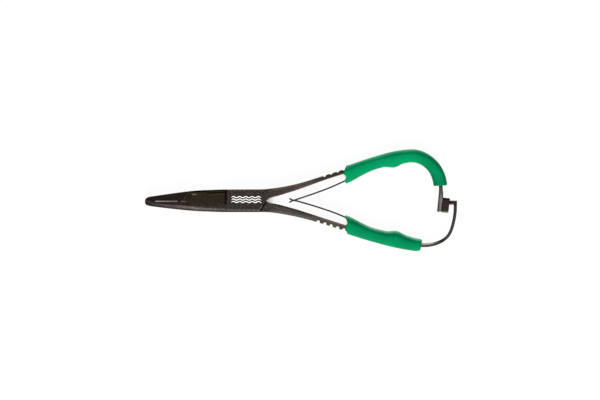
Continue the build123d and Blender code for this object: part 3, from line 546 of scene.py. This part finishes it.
def vinyl(name):
    """Green dipped vinyl: satin, faint orange peel, colour drifting with thickness."""
    mat = Material(name)
    drift = mat.noise(120, detail=3, rough=0.5)
    peel = mat.noise(1400, detail=4, rough=0.6)
    pore = mat.noise(5200, detail=2, rough=0.5)
    mat.colour = mat.ramp(drift, [(0.30, (0.0001, 0.205, 0.075)),
                                  (0.55, (0.0001, 0.232, 0.087)),
                                  (0.75, (0.0001, 0.255, 0.098))])
    mat.tint(mat.ramp(peel, [(0.3, 0.86), (0.7, 1.12)]))
    # Painted shade on the side facing +Y.
    normal_y = mat.normal("Y", smooth=True)
    mat.tint(mat.ramp(mat.linear(normal_y, slope=0.5, offset=0.5),
                      [(0.50, 1.0), (0.58, 0.86), (0.65, 0.66), (0.73, 0.64),
                       (0.80, 0.85), (0.90, 1.0)]))
    # The lower grip and the bend of the upper one are a shade deeper.
    x, y = mat.place("X"), mat.place("Y")
    deeper = mat.highest(mat.rise(y, zero=0.0, one=-2.0), mat.rise(x, zero=74.0, one=82.0))
    mat.darken(deeper, factor=0.80)
    # The painted rim highlight is strongest on the lower grip.
    amount = mat.mix(mat.rise(y, zero=0.0, one=-2.0), (0.30,) * 3, WHITE)
    rim_highlight = mat.times(amount, mat.rise(mat.normal("Z", smooth=True), zero=0.18, one=0.42))
    # Painted shade where the skin faces along x.
    normal_x = mat.math("ABSOLUTE", mat.normal("X", smooth=True))
    mat.tint(mat.ramp(normal_x, [(0.10, 1.0), (0.30, 0.96), (0.62, 0.80), (0.90, 0.84)]))
    # The end of the upper grip.
    ending = mat.times(mat.rise(x, zero=82.5, one=85.0), mat.rise(y, zero=13.0, one=8.0))
    mat.darken(ending, factor=0.86)
    # Painted highlight along the +Y edge, palest at its rim.
    for zero, one, tone in ((0.46, 0.72, (0.040, 0.270, 0.145)),
                            (0.72, 0.92, (0.240, 0.560, 0.380))):
        mat.lay(mat.rise(normal_y, zero, one), mat.ramp(drift, [(0.35, 0.55), (0.6, 0.95)]),
                rim_highlight, tone=tone)
    # Painted shade in a crease where the lower dip folds in between leaf and arm.
    slanted = mat.linear(x, slope=0.20, offset=y)
    mat.lay(mat.band(slanted, centre=-0.42, half=0.16, soft=0.42),
            mat.rise(x, zero=50.5, one=46.8), mat.rise(y, zero=0.0, one=-2.0),
            tone=(0.0, 0.085, 0.040), strength=0.7)
    height = mat.plus(peel, mat.times(pore, 0.35))
    mat.fill(mat.surface, {
        "Base Color": mat.colour,
        "Roughness": mat.ramp(peel, [(0.3, 0.44), (0.7, 0.58)]),
        "Specular IOR Level": 0.03,
        "Specular Tint": (0.5, 1.0, 0.75),
        "Subsurface Weight": 0.10,
        "Subsurface Radius": (0.05 * MM, 0.9 * MM, 0.4 * MM),
        "Subsurface Scale": 1.0,
        "Normal": mat.bump(height, strength=0.35, distance=0.06 * MM)})
    return mat.material


def mark_paint(name):
    """Pale mark, slightly broken up so the steel grain shows through."""
    mat = Material(name)
    grain = mat.noise(2400, detail=3, rough=0.7)
    mat.fill(mat.surface, {
        "Base Color": mat.ramp(grain, [(0.30, (0.42, 0.40, 0.38)), (0.48, (0.80, 0.79, 0.77)),
                                       (0.7, (0.93, 0.93, 0.92))]),
        "Roughness": 0.7,
        "Normal": mat.bump(grain, strength=0.3, distance=0.01 * MM)})
    return mat.material


MATERIALS = {
    "front": ForgedSteel("steel_front").material,
    "rear": ForgedSteel("steel_rear").material,
    "screw": steel("screw_steel", tone=(0.120, 0.110, 0.103), rough=0.36, grain=0.2),
    "spring": steel("spring_steel", tone=(0.033, 0.0225, 0.0190), rough=0.40, grain=0.20,
                    wear=0, soft=0, edge=(0.12, 0.10, 0.09)),
    "block": steel("block_steel", tone=(0.0330, 0.0260, 0.0240), rough=0.42, grain=0.16,
                   shade=block_shade, wear=0.06, soft=0.05),
    "rivet": steel("rivet_steel", tone=(0.110, 0.100, 0.093), rough=0.38, grain=0.2),
    "rod": steel("rod_steel", tone=(0.044, 0.036, 0.030), rough=0.34, grain=0.2,
                 shade=rod_shade, wear=0, soft=0, edge=(0.16, 0.14, 0.13)),
    "vinyl": vinyl("grip_vinyl"),
    "paint": mark_paint("mark_paint"),
}
# CAD piece: material.
PIECES = {
    "front_half": "front", "rear_half": "rear", "pivot_screw": "screw",
    "upper_spring_screw": "screw", "lower_spring_screw": "screw", "catch_rod_pin": "screw",
    "ratchet_block": "block", "ratchet_rivets": "rivet", "upper_leaf_spring": "spring",
    "lower_leaf_spring": "spring", "catch_rod": "rod", "upper_grip": "vinyl",
    "lower_grip": "vinyl",
}
for piece, key in PIECES.items():
    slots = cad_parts[piece].data.materials
    slots.clear()
    slots.append(MATERIALS[key])


# --------------------------------------------------------------------- mesh helpers
def new_object(name, verts, faces, material, smooth=True):
    """Mesh object from vertices in metres, with z counted from the lap plane."""
    mesh = bpy.data.meshes.new(name)
    mesh.from_pydata([Vector((v[0], v[1], v[2] + LAP)) for v in verts], [], faces)
    mesh.validate()
    mesh.update()
    made = bpy.data.objects.new(name, mesh)
    scene.collection.objects.link(made)
    mesh.materials.append(MATERIALS[material])
    cleaned = bmesh.new()
    cleaned.from_mesh(mesh)
    bmesh.ops.remove_doubles(cleaned, verts=cleaned.verts, dist=1e-7)
    bmesh.ops.recalc_face_normals(cleaned, faces=cleaned.faces)
    cleaned.to_mesh(mesh)
    cleaned.free()
    for face in mesh.polygons:
        face.use_smooth = smooth
    return made


def bake(made):
    """Applies an object's modifiers and smooths the result."""
    graph = bpy.context.evaluated_depsgraph_get()
    graph.update()
    mesh = bpy.data.meshes.new_from_object(made.evaluated_get(graph))
    made.modifiers.clear()
    old = made.data
    made.data = mesh
    bpy.data.meshes.remove(old)
    for face in mesh.polygons:
        face.use_smooth = True


def lengths(points):
    """Distance along a polyline at each of its points."""
    run = [0.0]
    for start, end in zip(points[:-1], points[1:]):
        run.append(run[-1] + (end - start).length)
    return run


def catmull(points, count):
    """Smooth curve through 2-D or 3-D points, resampled evenly by length."""
    knots = [Vector(point).to_3d() for point in points]
    dense = []
    for i in range(len(knots) - 1):
        p1, p2 = knots[i], knots[i + 1]
        p0 = knots[i - 1] if i > 0 else knots[0] * 2 - knots[1]
        p3 = knots[i + 2] if i + 2 < len(knots) else knots[-1] * 2 - knots[-2]
        for k in range(24):
            t = k / 24
            t2, t3 = t * t, t * t * t
            dense.append(0.5 * ((2 * p1) + (p2 - p0) * t + (2 * p0 - 5 * p1 + 4 * p2 - p3) * t2
                                + (3 * p1 - p0 - 3 * p2 + p3) * t3))
    dense.append(knots[-1])
    run = lengths(dense)
    even = []
    j = 0
    for i in range(count):
        want = run[-1] * i / (count - 1)
        while j < len(run) - 2 and run[j + 1] < want:
            j += 1
        span = max(run[j + 1] - run[j], 1e-12)
        even.append(dense[j].lerp(dense[j + 1], min(1.0, (want - run[j]) / span)))
    return even


def tangents(points):
    last = len(points) - 1
    return [(points[min(last, i + 1)] - points[max(0, i - 1)]).normalized()
            for i in range(last + 1)]


def left_of(way):
    """A direction in the XY plane, turned a quarter to the left."""
    return Vector((-way.y, way.x, 0))


def bridge(rings, capped=True):
    """Vertices and faces of a tube through rings of equal length."""
    size = len(rings[0])
    verts = [vert for ring in rings for vert in ring]
    faces = []
    for i in range(len(rings) - 1):
        for j in range(size):
            k = (j + 1) % size
            faces.append((i * size + j, i * size + k, (i + 1) * size + k, (i + 1) * size + j))
    if capped:
        base = (len(rings) - 1) * size
        faces.append(tuple(reversed(range(size))))
        faces.append(tuple(base + j for j in range(size)))
    return verts, faces


def eased(stations, place):
    """Smooth interpolation in a list of (place, value)."""
    for (start, first), (end, second) in zip(stations[:-1], stations[1:]):
        if place <= end:
            t = max(0.0, min(1.0, (place - start) / (end - start)))
            t = t * t * (3 - 2 * t)
            return first + (second - first) * t
    return stations[-1][1]


# ---------------------------------------------------------------------------- grips
# Outlines from mouth to tail, in mm: x, y.
UPPER_GRIP_OUTER = [
    (45.38, 15.72), (47.49, 16.29), (51.97, 17.83), (56.45, 19.31), (60.93, 20.65),
    (65.41, 21.84), (69.89, 22.66), (73.50, 23.04), (76.61, 23.00), (79.20, 22.38),
    (81.60, 21.32), (83.70, 20.00), (85.70, 18.30), (87.50, 16.20), (89.00, 13.68),
    (90.00, 11.20), (90.60, 8.80), (90.78, 7.18)]
UPPER_GRIP_INNER = [
    (45.29, 7.57), (47.49, 8.50), (49.73, 9.68), (51.97, 10.98), (54.21, 12.14),
    (56.45, 13.20), (58.69, 14.06), (60.93, 14.70), (63.00, 15.06), (65.20, 14.92),
    (67.00, 14.90), (68.60, 15.40), (70.20, 16.26), (72.13, 16.84), (74.37, 17.18),
    (76.80, 16.98), (79.20, 16.02), (81.20, 14.52), (82.72, 12.72), (83.70, 10.80),
    (84.32, 8.80), (84.66, 6.80)]
LOWER_GRIP_OUTER = [
    (45.92, -14.82), (47.49, -15.36), (51.97, -16.80), (56.45, -18.12), (60.93, -19.38),
    (65.41, -20.54), (69.89, -21.50), (74.37, -22.26), (76.61, -22.54), (78.42, -22.46)]
LOWER_GRIP_INNER = [
    (45.34, -6.38), (47.49, -7.26), (49.73, -8.40), (51.97, -9.60), (54.21, -10.72),
    (56.45, -11.70), (58.69, -12.44), (60.93, -13.00), (63.17, -13.52), (65.20, -13.62),
    (67.00, -13.44), (68.60, -13.60), (70.20, -14.36), (72.13, -15.34), (74.37, -16.10),
    (76.61, -16.68), (79.38, -17.27)]
# Reach of the mouth's lip: place across (-1 inner, 1 outer), mm.
UPPER_MOUTH = [(-1.0, -0.10), (-0.72, 0.55), (-0.28, -0.35), (0.24, 1.10), (0.72, 0.50),
               (1.0, 0.0)]
LOWER_MOUTH = [(-1.0, 0.25), (-0.74, 0.10), (-0.30, -0.55), (-0.12, -0.75), (0.16, 0.55),
               (0.62, 0.35), (1.0, 0.0)]
# Half thickness in z: fraction of the length, mm.
GRIP_HEIGHTS = [(0.0, 3.02), (0.12, 3.08), (0.5, 3.10), (0.9, 3.02), (1.0, 2.96)]
GRIP_SIDES = 56
# Steps of the middle line, and the share at mouth and tail that runs into the corners.
CHORD_STEPS = 240
PINNED_MOUTH = 0.13
PINNED_TAIL = 0.03


class Outline:
    """A polyline with its arc length, in millimetres."""

    def __init__(self, points):
        self.points = catmull(points, 700)
        self.run = lengths(self.points)
        self.length = self.run[-1]

    def at(self, distance):
        points, run = self.points, self.run
        distance = max(0.0, min(self.length, distance))
        i = int(distance / self.length * (len(points) - 1))
        i = max(0, min(len(points) - 2, i))
        while i > 0 and run[i] > distance:
            i -= 1
        while i < len(points) - 2 and run[i + 1] < distance:
            i += 1
        share = (distance - run[i]) / max(run[i + 1] - run[i], 1e-9)
        return points[i].lerp(points[i + 1], share)

    def hit(self, origin, way):
        """Arc length where a line from origin along way first meets the outline."""
        nearest = None
        for i in range(len(self.points) - 1):
            start = self.points[i]
            edge = self.points[i + 1] - start
            det = way.x * (-edge.y) + edge.x * way.y
            if abs(det) < 1e-9:
                continue
            to_start = start - origin
            reach = (to_start.x * (-edge.y) + edge.x * to_start.y) / det
            share = (way.x * to_start.y - way.y * to_start.x) / det
            if (reach > 0 and -0.001 <= share <= 1.001
                    and (nearest is None or reach < nearest[0])):
                nearest = (reach, self.run[i] + share * (self.run[i + 1] - self.run[i]))
        return nearest[1] if nearest else None


def chord_keys(outer, inner):
    """Keys (step, outer length, inner length), square to the grip except at its ends."""
    middle = catmull([(outer.at(outer.length * k / 40) + inner.at(inner.length * k / 40)) / 2
                      for k in range(41)], CHORD_STEPS + 1)
    hits = []
    for k, way in enumerate(tangents(middle)):
        across = left_of(way)
        if (outer.at(outer.length * k / CHORD_STEPS) - middle[k]).dot(across) < 0:
            across = -across
        hits.append((k, outer.hit(middle[k], across), inner.hit(middle[k], -across)))
    first = int(PINNED_MOUTH * CHORD_STEPS)
    last = int((1 - PINNED_TAIL) * CHORD_STEPS)
    good = [hit for hit in hits[first:last + 1] if None not in hit]
    return [(0, 0.0, 0.0)] + good[::8] + [(CHORD_STEPS, outer.length, inner.length)]


def chords(outer_points, inner_points, count):
    """Matched points on both outlines; a cubic through the keys keeps the rings flowing."""
    outer, inner = Outline(outer_points), Outline(inner_points)
    keys = chord_keys(outer, inner)
    pairs = []
    for i in range(count):
        k = i / (count - 1) * CHORD_STEPS
        j = 0
        while j < len(keys) - 2 and keys[j + 1][0] < k:
            j += 1
        start, end = keys[j], keys[j + 1]
        before = keys[max(0, j - 1)]
        after = keys[min(len(keys) - 1, j + 2)]
        span = end[0] - start[0]
        t = (k - start[0]) / span
        t2, t3 = t * t, t * t * t

        def cubic(side):
            leave = (end[side] - before[side]) / max(end[0] - before[0], 1) * span
            arrive = (after[side] - start[side]) / max(after[0] - start[0], 1) * span
            return ((2 * t3 - 3 * t2 + 1) * start[side] + (t3 - 2 * t2 + t) * leave
                    + (-2 * t3 + 3 * t2) * end[side] + (t3 - t2) * arrive)

        pairs.append((outer.at(cubic(1)), inner.at(cubic(2))))
    return pairs


def grip_rings(pairs, mouth, tunnel, tail):
    """Rings from inside the mouth, over the skin, into the tail's opening.

    tunnel and tail are (offset across, width, half height in mm) of the openings, with
    offset and width as fractions of the grip's half width."""
    middle = [(outer + inner) / 2 for outer, inner in pairs]
    ways = tangents(middle)
    run = lengths(middle)
    last = len(pairs) - 1

    def ring(i, shrink=0.0, slide=0.0, hollow=None, lip=1.0, power=2.35):
        """Superellipse at pair i, shrunk and slid in mm; lip scales the mouth's reach."""
        outer, inner = pairs[i]
        across = (outer - inner).normalized()
        half = (outer - inner).length / 2
        centre = middle[i]
        if hollow:
            offset, width, height = hollow
            centre = centre + across * (offset * half)
            half = width * half
        else:
            offset, width = 0, 1
            height = eased(GRIP_HEIGHTS, run[i] / run[-1]) - shrink
            half = half - shrink
        points = []
        for j in range(GRIP_SIDES):
            angle = 2 * math.pi * j / GRIP_SIDES
            cosine, sine = math.cos(angle), math.sin(angle)
            side = math.copysign(abs(cosine) ** (2 / power), cosine)
            rise = math.copysign(abs(sine) ** (2 / power), sine)
            point = centre + across * (side * half) + Vector((0, 0, rise * height))
            pull = eased(mouth, offset + side * width) * lip
            points.append(point + ways[i] * (slide - pull))
        return points

    # The mouth's lip, from inside the tunnel outwards.
    depth = next(i for i in range(len(pairs)) if run[i] > 9.0)
    rings = [ring(i, hollow=tunnel, lip=0.0, power=2.6)
             for i in (depth, int(depth * 0.66), int(depth * 0.33))]
    offset, width, height = tunnel
    rings += [
        ring(0, hollow=tunnel, slide=1.0, power=2.6),
        ring(0, hollow=(offset, width + 0.02, height + 0.05), slide=0.30, power=2.6),
        ring(0, hollow=(offset * 0.8, width + 0.08, height + 0.30), slide=0.03, power=2.5),
        ring(0, shrink=0.62, slide=-0.02, power=2.4),
        ring(0, shrink=0.30, slide=0.04),
        ring(0, shrink=0.09, slide=0.20),
        ring(0, slide=0.48)]
    for i in range(1, last):
        if run[i] >= 1.0:
            rings.append(ring(i, lip=max(0.0, 1 - run[i] / 5.5) ** 2))
    # The rounded tail and its opening.
    for shrink, slide in ((0.0, -0.20), (0.10, 0.07), (0.34, 0.20), (0.75, 0.24)):
        rings.append(ring(last, shrink, slide, lip=0))
    offset, width, height = tail
    rings += [
        ring(last, hollow=(offset, width + 0.10, height + 0.30), slide=0.22, lip=0, power=2.6),
        ring(last, hollow=tail, slide=-0.20, lip=0, power=3.0),
        ring(last, hollow=tail, slide=-1.6, lip=0, power=3.0)]
    return rings


def make_grip(side, body, pairs, mouth, tunnel, tail):
    verts, faces = bridge(grip_rings(pairs, mouth, tunnel, tail))
    grip = new_object(side + "_grip_vinyl", [vert * MM for vert in verts], faces, "vinyl")
    subdivision = grip.modifiers.new("sub", "SUBSURF")
    subdivision.levels = subdivision.render_levels = 1
    bake(grip)
    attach(grip, body)
    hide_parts(side + "_grip")


make_grip("upper", "front", chords(UPPER_GRIP_OUTER, UPPER_GRIP_INNER, count=130),
          UPPER_MOUTH, tunnel=(-0.10, 0.68, 1.78), tail=(0.06, 0.285, 1.50))
make_grip("lower", "rear", chords(LOWER_GRIP_OUTER, LOWER_GRIP_INNER, count=90),
          LOWER_MOUTH, tunnel=(-0.04, 0.68, 1.78), tail=(0.02, 0.34, 0.95))

# --------------------------------------------------------------------- leaf springs
# Centre lines from the grips to the free ends, in mm: x, y.
UPPER_LEAF = [
    (70.20, 18.15), (67.20, 17.71), (64.10, 17.03), (60.70, 15.94), (56.22, 14.06),
    (51.74, 12.02), (47.26, 9.98), (43.01, 8.02), (38.53, 6.02), (34.05, 4.30),
    (29.57, 2.70), (25.09, 1.20), (23.20, 0.56), (21.60, 0.06), (20.08, -0.72)]
LOWER_LEAF = [
    (70.20, -16.51), (67.20, -15.91), (64.10, -15.11), (60.70, -14.10), (56.22, -12.42),
    (51.74, -10.50), (47.26, -8.38), (43.01, -6.44), (38.53, -4.72), (34.05, -3.22),
    (29.57, -1.82), (25.09, -0.52), (23.20, -0.02), (21.60, 0.30), (20.08, 1.04)]
LEAF_THICK = 0.66
LEAF_HALF = 1.6
LEAF_COLUMNS = [-LEAF_HALF, -0.8, 0.8, LEAF_HALF]
# The upper leaf narrows to a tongue from TAPER_X on, over TAPER_LENGTH towards -X;
# the lower one is slotted below SLOT_X.
TONGUE_HALF = 0.55
TONGUE_X, TAPER_LENGTH = 25.6, 4.4
SLOT_X = 25.2


def make_leaf(name, centre_line, tongue):
    line = catmull(centre_line, 190)
    sheet = []
    for point, way in zip(line, tangents(line)):
        for z in LEAF_COLUMNS:
            if tongue:
                share = max(0.0, min(1.0, (point.x - TONGUE_X) / TAPER_LENGTH))
                z = z / LEAF_HALF * (TONGUE_HALF + (LEAF_HALF - TONGUE_HALF) * share)
            sheet.append((point + Vector((0, 0, z)), left_of(way)))
    size = len(LEAF_COLUMNS)
    quads = []
    for i in range(len(line) - 1):
        for j in range(size - 1):
            if tongue or j != 1 or line[i + 1].x >= SLOT_X:
                a, b = i * size + j, (i + 1) * size + j
                quads.append((a, a + 1, b + 1, b))
    # Thicken the sheet: both faces, then walls along the open edges.
    used = sorted({vert for quad in quads for vert in quad})
    index = {vert: k for k, vert in enumerate(used)}
    verts = [(sheet[k][0] + sheet[k][1] * LEAF_THICK / 2) * MM for k in used]
    verts += [(sheet[k][0] - sheet[k][1] * LEAF_THICK / 2) * MM for k in used]
    count = len(used)
    faces, edges = [], []
    for quad in quads:
        top = [index[vert] for vert in quad]
        faces.append(tuple(top))
        faces.append(tuple(count + vert for vert in reversed(top)))
        edges += zip(top, top[1:] + top[:1])
    known = set(edges)
    faces += [(b, a, count + a, count + b) for a, b in edges if (b, a) not in known]
    leaf = new_object(name, verts, faces, "spring")
    bevel = leaf.modifiers.new("bevel", "BEVEL")
    bevel.width = 0.03 * MM
    bevel.segments = 2
    bevel.limit_method = "ANGLE"
    bevel.angle_limit = math.radians(50)
    bake(leaf)
    return leaf


upper_leaf = make_leaf("upper_leaf_strip", UPPER_LEAF, tongue=True)
lower_leaf = make_leaf("lower_leaf_strip", LOWER_LEAF, tongue=False)
# Each leaf is baked in place and its CAD piece hidden; start and end, x and y in mm, are not used.
for leaf, side, body, start, end in (
        (upper_leaf, "upper", "front", (46.5, 9.6), (37.0, 5.45)),
        (lower_leaf, "lower", "rear", (46.5, -8.0), (37.0, -4.2))):
    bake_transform(leaf)
    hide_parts(side + "_leaf_spring")

# ------------------------------------------------------------------------ catch rod
# The rod leaves its pin towards +X, sweeps up in arcs and hooks back towards -X.
ROD_PIN = Vector((75.50, -19.28, 0))
ROD_ANGLE = math.radians(-10.2)
ROD_ARC_ENDS = [(82.20, -19.83), (88.20, -18.10), (92.68, -13.00), (93.90, -8.60),
                (94.56, -2.50)]
HOOK_Y = -0.72
HOOK_AIM = Vector((89.60, -0.64, 0))
HOOK_STATIONS = (0.7, 1.6, 2.5, 2.85, 4.75, 4.93)
# Beyond ROD_SLOPE_X the rod sinks by 1.55 mm from its lowest y to the hook.
ROD_LOW_Y = -19.90
ROD_SLOPE_X = 77
ROD_FALL = -1.55 / (HOOK_Y - ROD_LOW_Y)
# Radius by x along the rod, and by y along its upright part, in mm.
ROD_RADII = [(74.0, 0.66), (77.5, 0.80), (80.0, 0.86), (84.2, 0.82), (87.5, 0.76),
             (90.5, 0.70), (93.6, 0.68)]
UPRIGHT_RADII = [(-16.0, 0.69), (-10.0, 0.69), (-4.0, 0.72), (-0.7, 0.72)]
ROD_SIDES = 24
# Section of the flattened eye on the pin: radius, place across, in mm.
EYE_SECTION = [(0.51, -0.50), (1.10, -0.50), (1.25, -0.36), (1.25, 0.36), (1.10, 0.50),
               (0.51, 0.50), (0.51, -0.50)]
EYE_SIDES = 32


def left_arc(start, heading, end, count):
    """Points on the left-turning arc that leaves start along heading and ends at end."""
    chord = end - start
    side = left_of(heading)
    radius = chord.length_squared / (2 * chord.dot(side))
    centre = start + side * radius
    first = math.atan2(start.y - centre.y, start.x - centre.x)
    sweep = math.atan2(end.y - centre.y, end.x - centre.x) - first
    points = []
    for k in range(1, count + 1):
        angle = first + sweep * k / count
        points.append(centre + Vector((math.cos(angle), math.sin(angle), 0)) * radius)
    return points, Vector((-math.sin(angle), math.cos(angle), 0))


def rod_path():
    """Centre line of the rod, and the index of its corner."""
    heading = Vector((math.cos(ROD_ANGLE), math.sin(ROD_ANGLE), 0))
    path = [ROD_PIN + heading * 0.9, ROD_PIN + heading * 2.0]
    for end in ROD_ARC_ENDS:
        points, heading = left_arc(path[-1], heading, Vector((*end, 0)), count=22)
        path += points
    here = path[-1]
    corner = here + heading * ((HOOK_Y - here.y) / heading.y)
    path += [here.lerp(corner, 0.5), corner]
    corner_index = len(path) - 1
    hook = (HOOK_AIM - corner).normalized()
    path += [corner + hook * distance for distance in HOOK_STATIONS]
    return path, corner_index


def rod_radius(point, hook_distance):
    """hook_distance is None ahead of the corner, else the distance from it."""
    if hook_distance is not None:
        return 0.91 if hook_distance < 2.6 else (0.50 if hook_distance < 4.8 else 0.36)
    if point.y > -16 and point.x > 90:
        return eased(UPRIGHT_RADII, point.y)
    return eased(ROD_RADII, point.x)


def rod_rings():
    path, corner_index = rod_path()
    rings = []
    for i, point in enumerate(path):
        before = (point - path[i - 1]).normalized() if i else (path[1] - point).normalized()
        after = (path[i + 1] - point).normalized() if i < len(path) - 1 else before
        way = (before + after).normalized()
        side = left_of(way)
        stretch = 1 / max(0.5, way.dot(before))
        in_hook = i > corner_index
        radius = rod_radius(point, (point - path[corner_index]).length if in_hook else None)
        # The thick part of the hook sits a little lower.
        if in_hook and radius > 0.7:
            point = point + Vector((0, -0.13, 0))
        ring = []
        for j in range(ROD_SIDES):
            angle = 2 * math.pi * j / ROD_SIDES
            vert = (point + side * (math.cos(angle) * radius * stretch)
                    + Vector((0, 0, math.sin(angle) * radius)))
            if point.x > ROD_SLOPE_X:
                vert.z += ROD_FALL * (vert.y - ROD_LOW_Y)
            ring.append(vert * MM)
        rings.append(ring)
    return rings


def eye_rings():
    along = Vector((math.cos(ROD_ANGLE), math.sin(ROD_ANGLE), 0))
    across = left_of(along)
    angles = [2 * math.pi * j / EYE_SIDES for j in range(EYE_SIDES)]
    return [[(ROD_PIN + along * (math.cos(angle) * radius) + across * width
              + Vector((0, 0, math.sin(angle) * radius))) * MM for angle in angles]
            for radius, width in EYE_SECTION]


def join(parts):
    """One list of vertices and one of faces from several (vertices, faces)."""
    verts, faces = [], []
    for part_verts, part_faces in parts:
        shift = len(verts)
        verts += part_verts
        faces += [tuple(shift + k for k in face) for face in part_faces]
    return verts, faces


rod = new_object("catch_rod_wire", *join([bridge(rod_rings()), bridge(eye_rings(), capped=False)]),
                 "rod")
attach(rod, "catch")
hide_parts("catch_rod")

# ---------------------------------------------------------- etched waves on the joint
WAVE_COUNT = 3
WAVE_START, WAVE_SPAN = -5.95, 13.6
WAVE_Y, WAVE_PITCH = -0.50, 1.08
WAVE_HEIGHT, WAVE_LENGTH = 0.27, 2.8
WAVE_LOW, WAVE_TOP = 2.399, 2.412
# Fraction of the length, width in mm.
WAVE_WIDTHS = [(0, 0.10), (0.08, 0.38), (0.92, 0.38), (1, 0.10)]


def ribbon(points):
    """Thin strip along a curve, with tapering ends."""
    count = 170
    path = catmull(points, count)
    verts, faces = [], []
    for i, (point, way) in enumerate(zip(path, tangents(path))):
        side = left_of(way)
        half = eased(WAVE_WIDTHS, i / (count - 1)) / 2
        for z in (WAVE_TOP, WAVE_LOW):
            verts.append((point + side * half + Vector((0, 0, z))) * MM)
            verts.append((point - side * half + Vector((0, 0, z))) * MM)
    for i in range(count - 1):
        a, b = i * 4, i * 4 + 4
        faces += [(a, a + 1, b + 1, b), (a + 2, b + 2, b + 3, a + 3),
                  (a, b, b + 2, a + 2), (a + 1, a + 3, b + 3, b + 1)]
    end = (count - 1) * 4
    faces += [(0, 2, 3, 1), (end, end + 1, end + 3, end + 2)]
    return verts, faces


def wave(row):
    xs = [WAVE_START + WAVE_SPAN * (i / 56) for i in range(57)]
    return [(x, WAVE_Y + WAVE_PITCH * row + WAVE_HEIGHT * math.sin(2 * math.pi * x / WAVE_LENGTH))
            for x in xs]


mark = new_object("etched_waves", *join([ribbon(wave(row)) for row in range(WAVE_COUNT)]),
                  "paint", smooth=False)
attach(mark, "front")

# ---------------------------------------------------------------------------- floor
FLOOR_HALF = 2.0
FLOOR_GAP = 0.0002


def floor_white():
    """Just white to the camera, an ordinary pale floor to the tool."""
    mat = Material("floor_white")
    tone = mat.noise(40, detail=2, rough=0.5)
    seen = mat.node("LightPath").outputs["Is Camera Ray"]
    # Painted shade from ambient occlusion, only in deep slots between tool and floor.
    slots = mat.node("AmbientOcclusion", {"Distance": 4.0 * MM}, samples=12)
    shade = mat.ramp(slots.outputs["AO"], [(0.24, 0.30), (0.40, 1.0)])
    mat.fill(mat.surface, {
        "Base Color": mat.mix(seen, mat.ramp(tone, [(0.3, 0.88), (0.7, 0.90)]),
                              mat.ramp(tone, [(0.3, 0.050), (0.7, 0.055)])),
        "Roughness": 0.85,
        "Specular IOR Level": 0.0,
        "Emission Color": WHITE,
        "Emission Strength": mat.mix(seen, (0.22,) * 3, mat.times(shade, 0.94))})
    # Clear from below, so that the tool's back can be seen, and to shadow rays.
    under = mat.highest(mat.node("NewGeometry").outputs["Backfacing"],
                        mat.node("LightPath").outputs["Is Shadow Ray"])
    clear = mat.node("BsdfTransparent")
    sweep = mat.node("MixShader", {0: under, 1: mat.surface.outputs[0], 2: clear.outputs[0]})
    mat.show(sweep.outputs[0])
    return mat.material


floor_z = cad_box[0][2] - FLOOR_GAP
floor_mesh = bpy.data.meshes.new("floor")
floor_corners = [(x * FLOOR_HALF, y * FLOOR_HALF, floor_z)
                 for x, y in ((-1, -1), (1, -1), (1, 1), (-1, 1))]
floor_mesh.from_pydata(floor_corners, [], [(0, 1, 2, 3)])
floor = bpy.data.objects.new("floor", floor_mesh)
scene.collection.objects.link(floor)
floor_mesh.materials.append(floor_white())

# --------------------------------------------------------- world, lights and camera
world = bpy.data.worlds.new("world")
world.use_nodes = True
scene.world = world
background = world.node_tree.nodes["Background"]
background.inputs["Color"].default_value = (1.0, 1.0, 1.0, 1)
background.inputs["Strength"].default_value = 0.72
scene.view_settings.view_transform = "Standard"
scene.view_settings.look = "None"
scene.view_settings.exposure = 0.0
scene.view_settings.gamma = 1.0

LIGHT_TARGET = Vector((0.0249, 0.0004, LAP))
CAMERA_TARGET = Vector((0.02486, 0.00036, LAP))
CAMERA_TILT = math.radians(0.6)
# Width of the view at the lap plane, in metres.
VIEW_WIDTH = 0.2688
LENS, SENSOR = 135, 36


def area(name, place, power, width, height):
    light = bpy.data.lights.new(name, "AREA")
    light.energy = power
    light.size = width
    light.shape = "RECTANGLE"
    light.size_y = height
    lamp = bpy.data.objects.new(name, light)
    lamp.location = place
    lamp.rotation_euler = (LIGHT_TARGET - Vector(place)).to_track_quat("-Z", "Y").to_euler()
    scene.collection.objects.link(lamp)


area("key", place=(0.02, -0.55, 0.50), power=6.5, width=0.55, height=0.35)
area("rim", place=(0.02, 0.75, 0.22), power=3.0, width=0.8, height=0.15)

lens = bpy.data.cameras.new("camera")
lens.lens = LENS
lens.sensor_width = SENSOR
lens.clip_start = 0.05
camera = bpy.data.objects.new("camera", lens)
scene.collection.objects.link(camera)
distance = VIEW_WIDTH / (SENSOR / LENS)
toward = Vector((0, math.sin(CAMERA_TILT), math.cos(CAMERA_TILT)))
camera.location = CAMERA_TARGET + toward * distance
# Keeps the handles to the right of the frame and +Y up.
camera.rotation_euler = (-CAMERA_TILT, 0, 0)
scene.camera = camera

bpy.context.view_layer.update()
